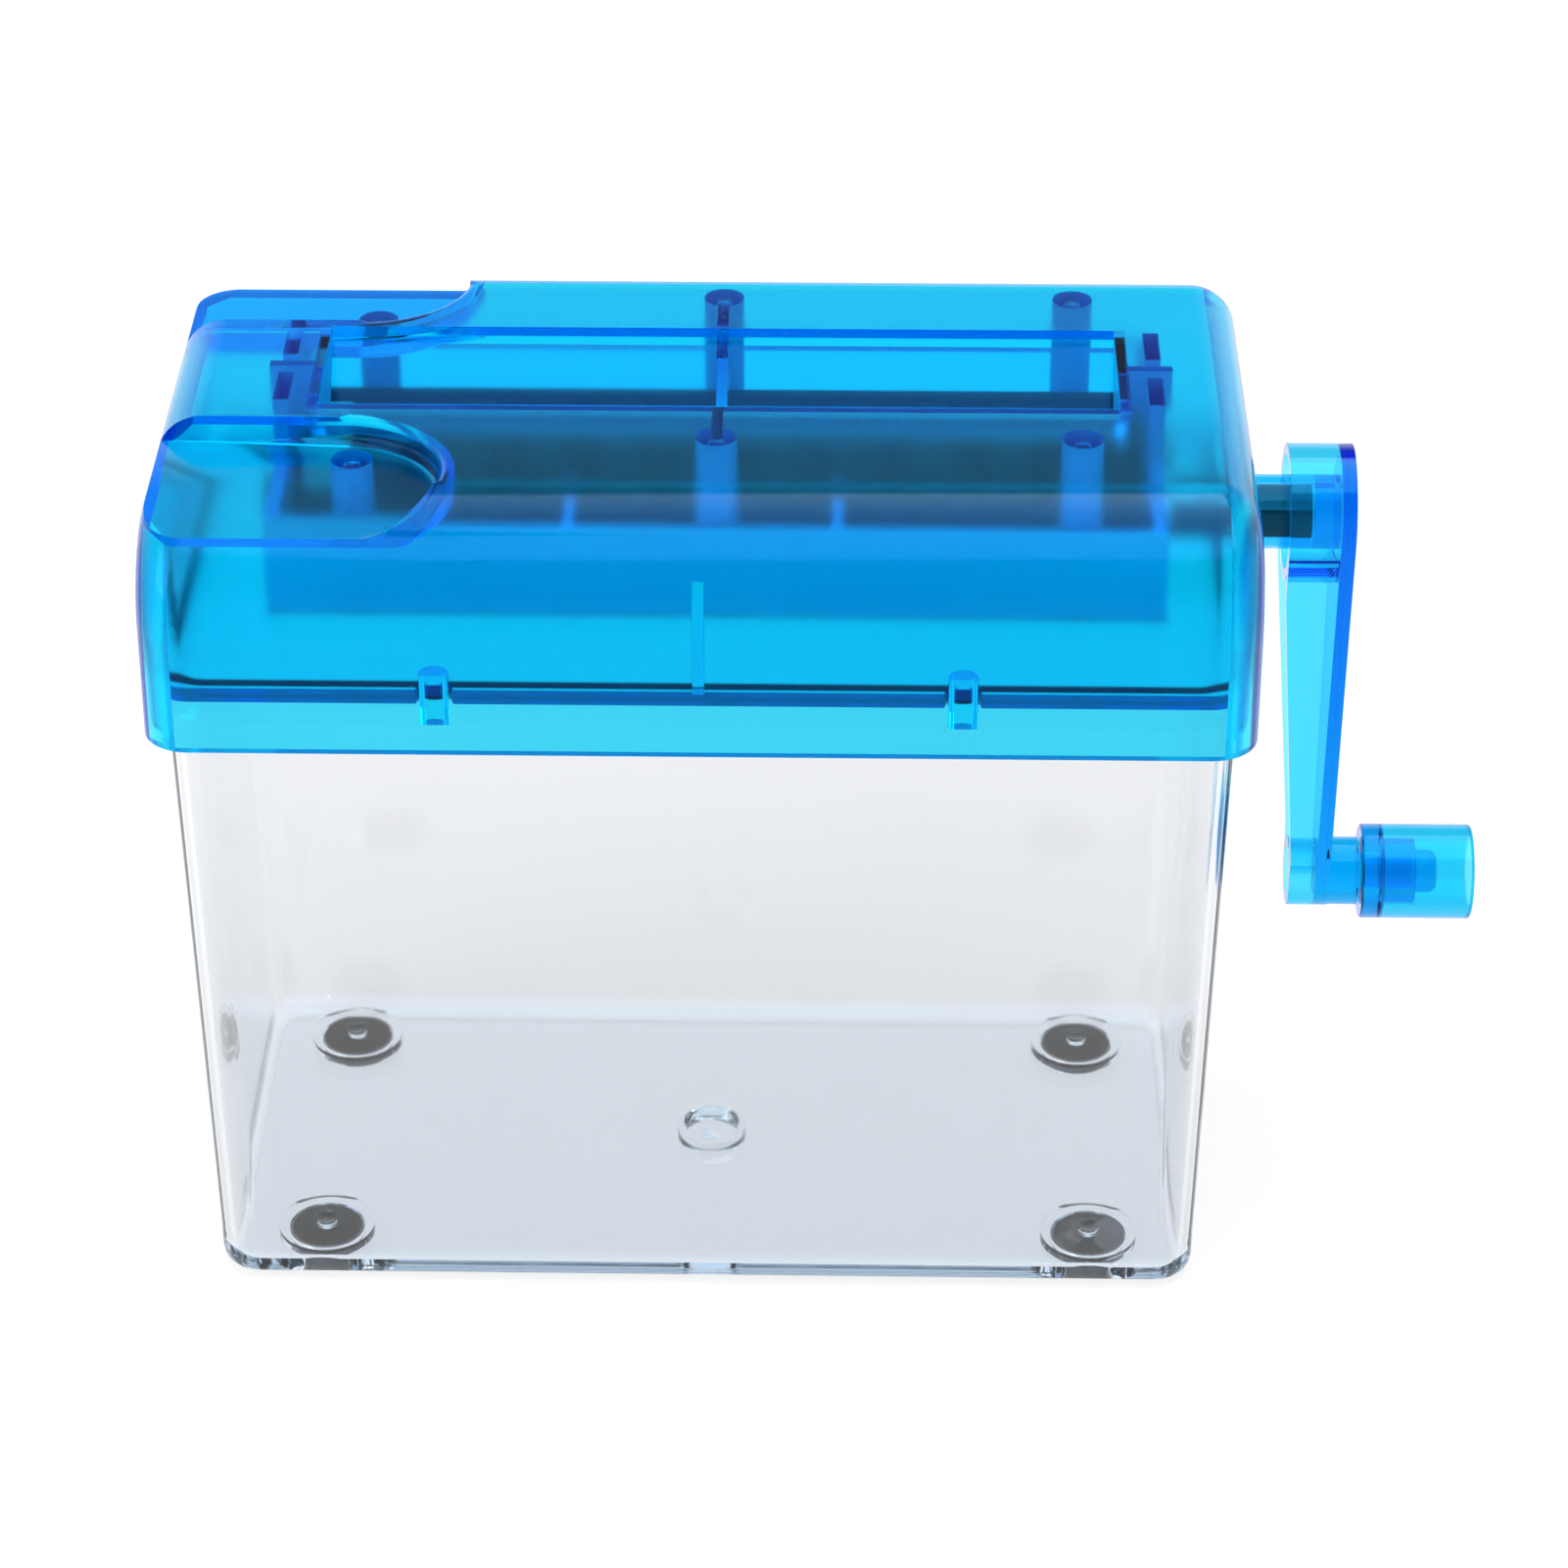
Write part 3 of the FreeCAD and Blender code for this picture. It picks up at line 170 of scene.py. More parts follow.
class Recipe:
    """The node tree of a material or of the world."""

    def __init__(self, owner: bpy.types.Material | bpy.types.World) -> None:
        """Start with an empty tree.

        Args:
            owner: What the tree belongs to.
        """
        self.owner = owner
        self.owner.use_nodes = True
        self.tree = self.owner.node_tree
        self.tree.nodes.clear()

    def node(self, kind: str, settings: dict | None = None, sockets: dict | None = None) -> bpy.types.Node:
        """Add one node.

        Args:
            kind: The node's type.
            settings: Properties of the node, set first.
            sockets: Values or links of its inputs, by name or number.

        Returns:
            The new node.
        """
        node = self.tree.nodes.new(kind)
        for key, setting in (settings or {}).items():
            setattr(node, key, setting)
        for key, given in (sockets or {}).items():
            if isinstance(given, Value):
                self.tree.links.new(given.socket, node.inputs[key])
            elif isinstance(given, bpy.types.NodeSocket):
                self.tree.links.new(given, node.inputs[key])
            else:
                node.inputs[key].default_value = given
        return node

    def value(self, kind: str, settings: dict | None = None, sockets: dict | None = None) -> Value:
        """Add one node and take its first output as a number."""
        return Value(self.tree, self.node(kind, settings, sockets).outputs[0])

    def place(self) -> bpy.types.NodeSocket:
        """The place on the piece, in the frame's metres."""
        return self.node("ShaderNodeTexCoord").outputs["Object"]

    def part_of(self, vector: bpy.types.NodeSocket, axis: str) -> Value:
        """The part of a vector along X, Y or Z."""
        split = self.node("ShaderNodeSeparateXYZ", None, {"Vector": vector})
        return Value(self.tree, split.outputs[axis])

    def height(self) -> Value:
        """The height of the place on the piece."""
        return self.part_of(self.place(), "Z")

    def noise(self, scale: float, detail: float = 2.0, stretch: Colour = (1.0, 1.0, 1.0)) -> Value:
        """Cloudy noise between nothing and one.

        Args:
            scale: Features for each metre.
            detail: Finer layers that are added.
            stretch: Scale along each axis.

        Returns:
            The noise.
        """
        mapped = self.node("ShaderNodeMapping", None, {"Vector": self.place(), "Scale": stretch})
        sockets = {"Vector": mapped.outputs[0], "Scale": scale, "Detail": detail}
        return self.value("ShaderNodeTexNoise", None, sockets)

    def blend(self, factor: Value, low: Shade, high: Shade) -> bpy.types.NodeSocket:
        """A colour between two, by a factor.

        Args:
            factor: How far the colour has gone from low to high.
            low: The colour or socket at nothing.
            high: The colour or socket at one.

        Returns:
            The blended colour.
        """
        first, second = ((*shade, 1.0) if isinstance(shade, tuple) else shade for shade in (low, high))
        sockets = {MIX_FACTOR: factor, MIX_LOW: first, MIX_HIGH: second}
        return self.node("ShaderNodeMix", {"data_type": "RGBA"}, sockets).outputs[MIX_RESULT]

    def bump(self, height: Value, depth: float, strength: float) -> bpy.types.NodeSocket:
        """A surface relief from a height, its depth in metres."""
        sockets = {"Height": height, "Distance": depth, "Strength": strength}
        return self.node("ShaderNodeBump", None, sockets).outputs[0]

    def mark(self, name: str) -> Value:
        """A number that the piece's faces carry."""
        node = self.node("ShaderNodeAttribute", {"attribute_name": name})
        return Value(self.tree, node.outputs["Fac"])

    def shader(self, sockets: dict) -> bpy.types.NodeSocket:
        """Add the one shader that every solid surface uses."""
        return self.node("ShaderNodeBsdfPrincipled", None, sockets).outputs[0]

    def mixed(self, share: Value, first: bpy.types.NodeSocket, second: bpy.types.NodeSocket) -> bpy.types.NodeSocket:
        """One shader that gives way to another by a share."""
        return self.node("ShaderNodeMixShader", None, {0: share, 1: first, 2: second}).outputs[0]

    def output(self, shader: bpy.types.NodeSocket) -> bpy.types.Node:
        """Add the material's output."""
        return self.node("ShaderNodeOutputMaterial", None, {"Surface": shader})

    def surface(self, sockets: dict) -> bpy.types.Node:
        """Add the shader and the output, and join them."""
        return self.output(self.shader(sockets))

    def absorb(self, output: bpy.types.Node, colour: Colour, density: float) -> None:
        """Fill the piece with a dye that deepens with its thickness."""
        dye = self.node("ShaderNodeVolumeAbsorption", None, {"Color": (*colour, 1.0), "Density": density})
        self.tree.links.new(dye.outputs[0], output.inputs["Volume"])


@dataclass(frozen=True)
class ClearPlastic:
    """See-through moulded plastic, clear or dyed, with a faint flow and handling marks."""

    name: str
    tint: Colour
    deep_tint: Colour
    dye: Colour
    dye_density: float
    gloss_roughness: float
    scuff_roughness: float
    gloss_tint: Colour = (1.0, 1.0, 1.0)
    index: float = 1.49
    scuff_scale: float = 90.0
    scuff_detail: float = 5.0
    scuff_stretch: Colour = (1.0, 1.0, 0.35)
    scuff_power: float = 3.0
    flow_scale: float = 35.0
    flow_detail: float = 1.0
    flow_stretch: Colour = (0.5, 0.5, 1.4)
    flow_depth: float = 0.06 * MM
    flow_strength: float = 0.3

    def material(self) -> bpy.types.Material:
        """Build the material.

        Returns:
            The new material.
        """
        recipe = Recipe(bpy.data.materials.new(self.name))
        scuff = recipe.noise(self.scuff_scale, self.scuff_detail, self.scuff_stretch) ** self.scuff_power
        flow = recipe.noise(self.flow_scale, self.flow_detail, self.flow_stretch)
        output = recipe.surface(
            {
                "Base Color": self.colour(recipe, flow),
                "Roughness": self.gloss_roughness + scuff * self.scuff_roughness,
                "Normal": recipe.bump(flow, self.flow_depth, self.flow_strength),
                "Transmission Weight": 1.0,
                "IOR": self.index,
                "Specular Tint": (*self.gloss_tint, 1.0),
            }
        )
        recipe.absorb(output, self.dye, self.dye_density)
        return recipe.owner

    def colour(self, recipe: Recipe, flow: Value) -> bpy.types.NodeSocket:
        """The tint, which follows the flow of the melt."""
        return recipe.blend(flow, self.tint, self.deep_tint)


@dataclass(frozen=True)
class TubPlastic(ClearPlastic):
    """Clear plastic, darker towards the foot of the walls, with painted blue-grey shade in the floor and the lowest
    band of the walls.
    """

    # Painted shade: the blue-grey that the tub's floor and lowest wall band are blended to.
    painted_floor_shade: Colour = (0.89, 0.94, 1.0)
    floor_top: float = 3.5 * MM
    floor_over: float = 2.0 * MM
    floor_shade_share: float = 0.9
    wall_fade: float = 100.0 * MM
    wall_share: float = 0.8
    flow_share: float = 0.2

    def colour(self, recipe: Recipe, flow: Value) -> bpy.types.NodeSocket:
        """The tint: darker towards the foot of the walls, with painted shade in the floor.

        Args:
            recipe: The material's tree.
            flow: The flow of the melt.

        Returns:
            The colour.
        """
        height = recipe.height()
        # Darker towards the foot of the walls, with random tone from the flow.
        low = (1.0 - height / self.wall_fade).clamped()
        walls = recipe.blend(low * self.wall_share + flow * self.flow_share, self.tint, self.deep_tint)
        # Painted shade: the floor and lowest wall band are blended to a blue-grey for the shadow under the tub and the
        # head's blue light.
        floor = (1.0 - (height - self.floor_top) / self.floor_over).clamped()
        return recipe.blend(floor * (self.floor_shade_share + flow * self.flow_share), walls, self.painted_floor_shade)


@dataclass(frozen=True)
class FrostedPlastic:
    """Dyed see-through plastic, etched on its inner faces above a line and milky on its milky faces."""

    name: str
    tint: Colour
    deep_tint: Colour
    milk: Colour
    deep_milk: Colour
    dye: Colour
    dye_density: float
    clear_roughness: float
    frost_roughness: float = 0.21
    frost_from: float = 116.5 * MM
    frost_over: float = 3.0 * MM
    haze: float = 0.0
    gloss_tint: Colour = (1.0, 1.0, 1.0)
    index: float = 1.49
    grain_scale: float = 7000.0
    grain_detail: float = 2.0
    grain_depth: float = 0.004 * MM
    grain_strength: float = 0.1
    grain_roughness: float = 0.05
    cloud_scale: float = 40.0
    cloud_detail: float = 3.0
    cloud_roughness: float = 0.08
    milk_roughness: float = 0.5
    milk_grain: float = 0.1
    milk_least: float = 0.8
    milk_cloud: float = 0.4

    def material(self) -> bpy.types.Material:
        """Build the material.

        Returns:
            The new material.
        """
        recipe = Recipe(bpy.data.materials.new(self.name))
        grain = recipe.noise(self.grain_scale, self.grain_detail)
        cloud = recipe.noise(self.cloud_scale, self.cloud_detail)
        speckle = grain - NOISE_MIDDLE
        etched = recipe.mark(INNER_FACE) * ((recipe.height() - self.frost_from) / self.frost_over).clamped()
        span = self.frost_roughness - self.clear_roughness
        unevenness = (cloud - NOISE_MIDDLE) * self.cloud_roughness + speckle * self.grain_roughness
        frost = self.clear_roughness + etched * (span + unevenness)
        relief = recipe.bump(grain * etched, self.grain_depth, self.grain_strength)
        milkiness = recipe.mark(MILKY_FACE)
        depth = milkiness * (self.milk_least + cloud * self.milk_cloud)
        see_through = recipe.shader(
            {
                "Base Color": recipe.blend(cloud, self.tint, self.deep_tint),
                "Roughness": frost.clamped(),
                "Normal": relief,
                "Transmission Weight": 1.0,
                "IOR": self.index,
                "Specular Tint": (*self.gloss_tint, 1.0),
            }
        )
        milky = recipe.shader(
            {
                "Base Color": recipe.blend(depth, self.deep_milk, self.milk),
                "Roughness": self.milk_roughness + speckle * self.milk_grain,
                "Normal": relief,
                "Specular Tint": (*self.gloss_tint, 1.0),
            }
        )
        share = (milkiness + self.haze * etched).clamped()
        output = recipe.output(recipe.mixed(share, see_through, milky))
        recipe.absorb(output, self.dye, self.dye_density)
        return recipe.owner


@dataclass(frozen=True)
class MouldedPlastic:
    """Solid moulded plastic with a fine grain."""

    name: str
    colour: Colour
    worn_colour: Colour
    roughness: float
    gloss: float = 0.5
    grain_scale: float = 1500.0
    grain_detail: float = 3.0
    grain_depth: float = 0.03 * MM
    grain_strength: float = 0.4
    grain_roughness: float = 0.1
    cloud_scale: float = 60.0
    cloud_detail: float = 4.0
    cloud_roughness: float = 0.2

    def material(self) -> bpy.types.Material:
        """Build the material.

        Returns:
            The new material.
        """
        recipe = Recipe(bpy.data.materials.new(self.name))
        grain = recipe.noise(self.grain_scale, self.grain_detail)
        cloud = recipe.noise(self.cloud_scale, self.cloud_detail)
        worn = (cloud - NOISE_MIDDLE) * self.cloud_roughness
        recipe.surface(
            {
                "Base Color": recipe.blend(cloud, self.colour, self.worn_colour),
                "Roughness": self.roughness + worn + (grain - NOISE_MIDDLE) * self.grain_roughness,
                "Normal": recipe.bump(grain, self.grain_depth, self.grain_strength),
                "Specular IOR Level": self.gloss,
            }
        )
        return recipe.owner


@dataclass(frozen=True)
class DrawnSteel:
    """Steel with fine lines along or across the shaft."""

    name: str
    colour: Colour
    worn_colour: Colour
    roughness: float
    line_stretch: Colour
    line_scale: float = 900.0
    line_detail: float = 2.0
    line_depth: float = 0.02 * MM
    line_strength: float = 0.4
    line_roughness: float = 0.2
    stain_scale: float = 70.0
    stain_detail: float = 4.0
    stain_roughness: float = 0.15

    def material(self) -> bpy.types.Material:
        """Build the material.

        Returns:
            The new material.
        """
        recipe = Recipe(bpy.data.materials.new(self.name))
        lines = recipe.noise(self.line_scale, self.line_detail, self.line_stretch)
        stain = recipe.noise(self.stain_scale, self.stain_detail)
        drawn = (lines - NOISE_MIDDLE) * self.line_roughness
        recipe.surface(
            {
                "Base Color": recipe.blend(stain, self.colour, self.worn_colour),
                "Metallic": 1.0,
                "Roughness": self.roughness + drawn + (stain - NOISE_MIDDLE) * self.stain_roughness,
                "Normal": recipe.bump(lines, self.line_depth, self.line_strength),
            }
        )
        return recipe.owner


CLEAR_BIN = TubPlastic(
    name="clear_bin_plastic",
    tint=(0.905, 0.902, 0.908),
    deep_tint=(0.835, 0.845, 0.862),
    dye=(0.5, 0.72, 0.9),
    dye_density=14.0,
    gloss_roughness=0.02,
    scuff_roughness=0.12,
)
BLUE_GLOSS = (0.06, 0.26, 0.72)
FROSTED_BLUE = FrostedPlastic(
    name="frosted_blue_plastic",
    tint=(0.32, 0.825, 1.0),
    deep_tint=(0.29, 0.805, 1.0),
    milk=(0.002, 0.6, 1.0),
    deep_milk=(0.001, 0.28, 1.0),
    dye=(0.01, 0.955, 1.0),
    dye_density=700.0,
    clear_roughness=0.1,
    haze=0.02,
    gloss_tint=BLUE_GLOSS,
)
PLATE_BLUE = FrostedPlastic(
    name="plate_blue_plastic",
    tint=(0.32, 0.92, 1.0),
    deep_tint=(0.29, 0.9, 1.0),
    milk=(0.002, 0.75, 1.0),
    deep_milk=(0.002, 0.5, 1.0),
    dye=(0.01, 0.93, 1.0),
    dye_density=700.0,
    clear_roughness=0.15,
    gloss_tint=BLUE_GLOSS,
)
CRANK_BLUE = ClearPlastic(
    name="crank_blue_plastic",
    tint=(0.93, 0.975, 1.0),
    deep_tint=(0.9, 0.965, 1.0),
    dye=(0.01, 0.87, 0.985),
    dye_density=680.0,
    gloss_roughness=0.03,
    scuff_roughness=0.15,
    gloss_tint=(0.1, 0.6, 1.0),
)
KNOB_BLUE = ClearPlastic(
    name="knob_blue_plastic",
    tint=(0.46, 0.885, 0.975),
    deep_tint=(0.42, 0.87, 0.965),
    dye=(0.01, 0.87, 0.985),
    dye_density=600.0,
    gloss_roughness=0.08,
    scuff_roughness=0.2,
    gloss_tint=(0.1, 0.6, 1.0),
)
BLACK_PLASTIC = MouldedPlastic(
    name="black_moulded_plastic",
    colour=(0.004, 0.0043, 0.0055),
    worn_colour=(0.009, 0.0096, 0.011),
    roughness=0.6,
    gloss=0.15,
)
GEAR_PLASTIC = MouldedPlastic(
    name="off_white_gear_plastic",
    colour=(0.72, 0.72, 0.68),
    worn_colour=(0.62, 0.62, 0.58),
    roughness=0.45,
)
PAD_RUBBER = MouldedPlastic(
    name="grey_pad_rubber",
    colour=(0.2, 0.197, 0.19),
    worn_colour=(0.26, 0.256, 0.247),
    roughness=0.8,
)
DARK_STEEL = DrawnSteel(
    name="dark_cutter_steel",
    colour=(0.008, 0.009, 0.011),
    worn_colour=(0.02, 0.021, 0.024),
    roughness=0.45,
    line_stretch=(0.2, 1.0, 1.0),
)
SHAFT_STEEL = DrawnSteel(
    name="blackened_shaft_steel",
    colour=(0.006, 0.0065, 0.008),
    worn_colour=(0.016, 0.017, 0.019),
    roughness=0.45,
    line_stretch=(0.05, 1.0, 1.0),
)
BRIGHT_STEEL = DrawnSteel(
    name="bright_clip_steel",
    colour=(0.55, 0.56, 0.58),
    worn_colour=(0.45, 0.455, 0.47),
    roughness=0.32,
    line_stretch=(1.0, 0.2, 1.0),
)

_MADE: dict[str, bpy.types.Material] = {}
Finish = Union[ClearPlastic, FrostedPlastic, MouldedPlastic, DrawnSteel]


def finish_material(finish: Finish) -> bpy.types.Material:
    """The material of a finish, built once.

    Args:
        finish: The finish.

    Returns:
        Its material.
    """
    if finish.name not in _MADE:
        _MADE[finish.name] = finish.material()
    return _MADE[finish.name]


def merged_copy(node: str) -> bmesh.types.BMesh:
    """A node's shape with its loose triangles joined and its flat faces whole.

    Args:
        node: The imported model's node.

    Returns:
        The joined shape.
    """
    shape = bmesh.new()
    shape.from_mesh(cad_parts[node].data)
    bmesh.ops.remove_doubles(shape, verts=shape.verts[:], dist=MERGE_DISTANCE)
    bmesh.ops.dissolve_limit(
        shape, angle_limit=FLAT_ANGLE, use_dissolve_boundaries=False, verts=shape.verts[:], edges=shape.edges[:]
    )
    return shape


def soften(
    shape: bmesh.types.BMesh,
    width: float,
    segments: int = 2,
    chosen: Callable[[bmesh.types.BMEdge], bool] | None = None,
    held: bool = True,
) -> None:
    """Round the sharp edges of a shape.

    Args:
        shape: The shape to change.
        width: How far the rounding reaches from the edge.
        segments: Steps across the rounding.
        chosen: A test for the edges to round, or none for all of them.
        held: Whether short neighbours hold the width back.
    """
    sharp = [edge for edge in shape.edges if edge.calc_face_angle(0.0) > SHARP_ANGLE]
    bmesh.ops.bevel(
        shape,
        geom=[edge for edge in sharp if chosen is None or chosen(edge)],
        offset=width,
        offset_type="OFFSET",
        affect="EDGES",
        segments=segments,
        profile=0.5,
        clamp_overlap=held,
        material=-1,
    )


def make_piece(shape: bmesh.types.BMesh, name: str, body: Body, finish: Finish) -> bpy.types.Object:
    """Turn a shape into a dressed piece that rides on a body.

    Args:
        shape: The finished shape, which is freed.
        name: The piece's name.
        body: The body that it rides on.
        finish: Its finish.

    Returns:
        The piece.
    """
    mesh = bpy.data.meshes.new(name)
    shape.to_mesh(mesh)
    triangles = sum(len(face.verts) - 2 for face in shape.faces)
    open_edges = sum(not edge.is_manifold for edge in shape.edges)
    shape.free()
    packed_normals = mesh.attributes.get("custom_normal")
    if packed_normals:
        mesh.attributes.remove(packed_normals)
    mesh.materials.clear()
    mesh.materials.append(finish_material(finish))
    for face in mesh.polygons:
        face.use_smooth = True
        face.material_index = 0
    piece = bpy.data.objects.new(name, mesh)
    bpy.context.scene.collection.objects.link(piece)
    shading = piece.modifiers.new("even_shading", "WEIGHTED_NORMAL")
    shading.keep_sharp = True
    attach(piece, body.value)
    log.info("%s: %d triangles, %d open edges", name, triangles, open_edges)
    return piece


def mark_inner_faces(shape: bmesh.types.BMesh, left_out: Callable[[Vector], bool]) -> None:
    """Mark the faces that have a wall of the same shape above them.

    Args:
        shape: The shape whose faces are marked.
        left_out: A test for places that stay unmarked.
    """
    layer = shape.faces.layers.float.new(INNER_FACE)
    tree = BVHTree.FromBMesh(shape)
    shape.faces.index_update()
    covered = [0.0] * len(shape.faces)
    for corners in shape.calc_loop_triangles():
        face = corners[0].face
        places = [corner.vert.co for corner in corners]
        middle = sum(places, Vector()) / len(places)
        hit = tree.ray_cast(middle + face.normal * LOOK_START, UP, LOOK_REACH)[0]
        inner = hit is not None and not left_out(middle)
        covered[face.index] += area_tri(*places) * (1.0 if inner else -1.0)
    for face in shape.faces:
        face[layer] = 1.0 if covered[face.index] > 0.0 else 0.0


def mark_faces(shape: bmesh.types.BMesh, name: str, share: Callable[[Vector], float]) -> None:
    """Mark each face with the share that its middle gives.

    Args:
        shape: The shape to change.
        name: The mark's name.
        share: The share at a place.
    """
    layer = shape.faces.layers.float.new(name)
    for face in shape.faces:
        face[layer] = share(face.calc_center_median())


def keep_inside(shape: bmesh.types.BMesh, node: str) -> None:
    """Hold a shape within its node's box.

    Args:
        shape: The shape to change.
        node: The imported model's node.
    """
    low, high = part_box(node)
    for vert in shape.verts:
        vert.co = Vector(min(max(place, least), most) for place, least, most in zip(vert.co, low, high))


def level_face(shape: bmesh.types.BMesh, place: Vector, facing: float) -> bmesh.types.BMFace:
    """The face that looks up or down at the end of an upright round form.

    Args:
        shape: The shape that is searched.
        place: A place on the form's axis.
        facing: One for the top face, minus one for the bottom face.

    Returns:
        The outermost level face round that axis.
    """
    level = [face for face in shape.faces if face.normal.z * facing > LEVEL_LIMIT and face.calc_area() < ROUND_AREA]
    near = [face for face in level if (face.calc_center_bounds() - place).xy.length < AXIS_REACH]
    return max(near, key=lambda face: face.calc_center_bounds().z * facing)


@dataclass(frozen=True)
class Step:
    """A raised or sunk middle of a level face.

    The border is the width that stays at its level, the rise is how far the middle moves up, and the run is how far the
    slope between them reaches inwards.
    """

    border: float
    rise: float
    run: float

    def shape_face(self, shape: bmesh.types.BMesh, face: bmesh.types.BMFace) -> None:
        """Raise or sink the middle of a level face.

        Args:
            shape: The shape to change.
            face: The face, which becomes the middle.
        """
        for inset in (self.border, self.run):
            bmesh.ops.inset_region(shape, faces=[face], thickness=inset, use_even_offset=True)
        bmesh.ops.translate(shape, verts=face.verts[:], vec=(0.0, 0.0, self.rise))


def add_void(shape: bmesh.types.BMesh, place: Vector, radius: float, depth: float) -> None:
    """Leave a round hollow inside a solid shape.

    Args:
        shape: The shape to change.
        place: The middle of the hollow's top.
        radius: Its radius.
        depth: How far it goes down.
    """
    middle = Matrix.Translation(place - Vector((0.0, 0.0, depth / 2)))
    made = bmesh.ops.create_cone(
        shape, cap_ends=True, segments=ROUND_SEGMENTS, radius1=radius, radius2=radius, depth=depth, matrix=middle
    )
    walls = {face for vert in made["verts"] for face in vert.link_faces}
    bmesh.ops.reverse_faces(shape, faces=list(walls))


@dataclass
class Moulding:
    """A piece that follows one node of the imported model, with softened edges."""

    node: str
    body: Body
    finish: Finish
    slot: str
    softness: float
    detail: Callable[[bmesh.types.BMesh], None] | None = None
    first_rounding: Callable[[bmesh.types.BMesh], None] | None = None

    def build(self) -> bpy.types.Object:
        """Make the piece and let it stand for its node.

        Returns:
            The piece.
        """
        shape = merged_copy(self.node)
        if self.first_rounding:
            self.first_rounding(shape)
        soften(shape, self.softness)
        if self.detail:
            self.detail(shape)
        piece = make_piece(shape, self.node + "_finished", self.body, self.finish)
        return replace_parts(piece, self.node)


@dataclass
class ClearBin:
    """The clear tub on its soft pads."""

    rim_softness: float = 0.35 * MM
    pad_softness: float = 0.4 * MM
    pad_radius: float = 6.1 * MM
    pad_hole: Step = Step(border=4.1 * MM, rise=-1.6 * MM, run=0.1 * MM)
    stud: Step = Step(border=5.9 * MM, rise=1.1 * MM, run=0.2 * MM)
    stud_dish: Step = Step(border=0.4 * MM, rise=-0.5 * MM, run=0.25 * MM)
    gate_dish: Step = Step(border=1.1 * MM, rise=-1.7 * MM, run=0.3 * MM)
    gate_nub: Step = Step(border=2.3 * MM, rise=1.7 * MM, run=0.5 * MM)
    nub_lean: Colour = (-0.7 * MM, 0.2 * MM, 0.0)
    foot_spine: tuple[float, float] = (73.8 * MM, 32.35 * MM)
    foot_round: float = 7.0 * MM
    foot_power: float = 8.0
    skin_from: float = 0.93

    def pad_places(self) -> list[Vector]:
        """The four pads' axes.

        Returns:
            One place on each axis.
        """
        low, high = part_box("foot_pads")
        across = (low.x + self.pad_radius, high.x - self.pad_radius)
        back = (low.y + self.pad_radius, high.y - self.pad_radius)
        return [Vector((x, y, 0.0)) for x in across for y in back]

    def tighten_foot(self, shape: bmesh.types.BMesh) -> None:
        """Draw the rounding under the tub's walls in to a tighter one.

        Args:
            shape: The shape to change.
        """
        across, back = self.foot_spine
        for vert in shape.verts:
            x, y, _ = vert.co
            spine = Vector((min(max(x, -across), across), min(max(y, -back), back), self.foot_round))
            arm = (vert.co - spine) / self.foot_round
            out, down = arm.xy.length, -arm.z
            if min(out, down) > 0.0 and arm.length > self.skin_from:
                reach = (out**self.foot_power + down**self.foot_power) ** (1.0 / self.foot_power)
                vert.co = spine + arm * (self.foot_round / reach)

    def dress_tub(self, shape: bmesh.types.BMesh) -> None:
        """Add the studs on the cups and the dish and broken nub of the gate disc.

        Args:
            shape: The shape to change.
        """
        for place in self.pad_places():
            roof = level_face(shape, place, 1.0)
            self.stud.shape_face(shape, roof)
            self.stud_dish.shape_face(shape, roof)
        gate = level_face(shape, Vector(), 1.0)
        self.gate_dish.shape_face(shape, gate)
        self.gate_nub.shape_face(shape, gate)
        bmesh.ops.translate(shape, verts=gate.verts[:], vec=self.nub_lean)

    def dress_pads(self, shape: bmesh.types.BMesh) -> None:
        """Sink the hole in the middle of each pad."""
        for place in self.pad_places():
            self.pad_hole.shape_face(shape, level_face(shape, place, 1.0))

    def build(self) -> None:
        """Make the tub and the pads."""
        Moulding(
            "bin", Body.BIN, CLEAR_BIN, "clear_plastic", self.rim_softness, self.dress_tub, self.tighten_foot
        ).build()
        Moulding("foot_pads", Body.BIN, PAD_RUBBER, "pad_rubber", self.pad_softness, self.dress_pads).build()


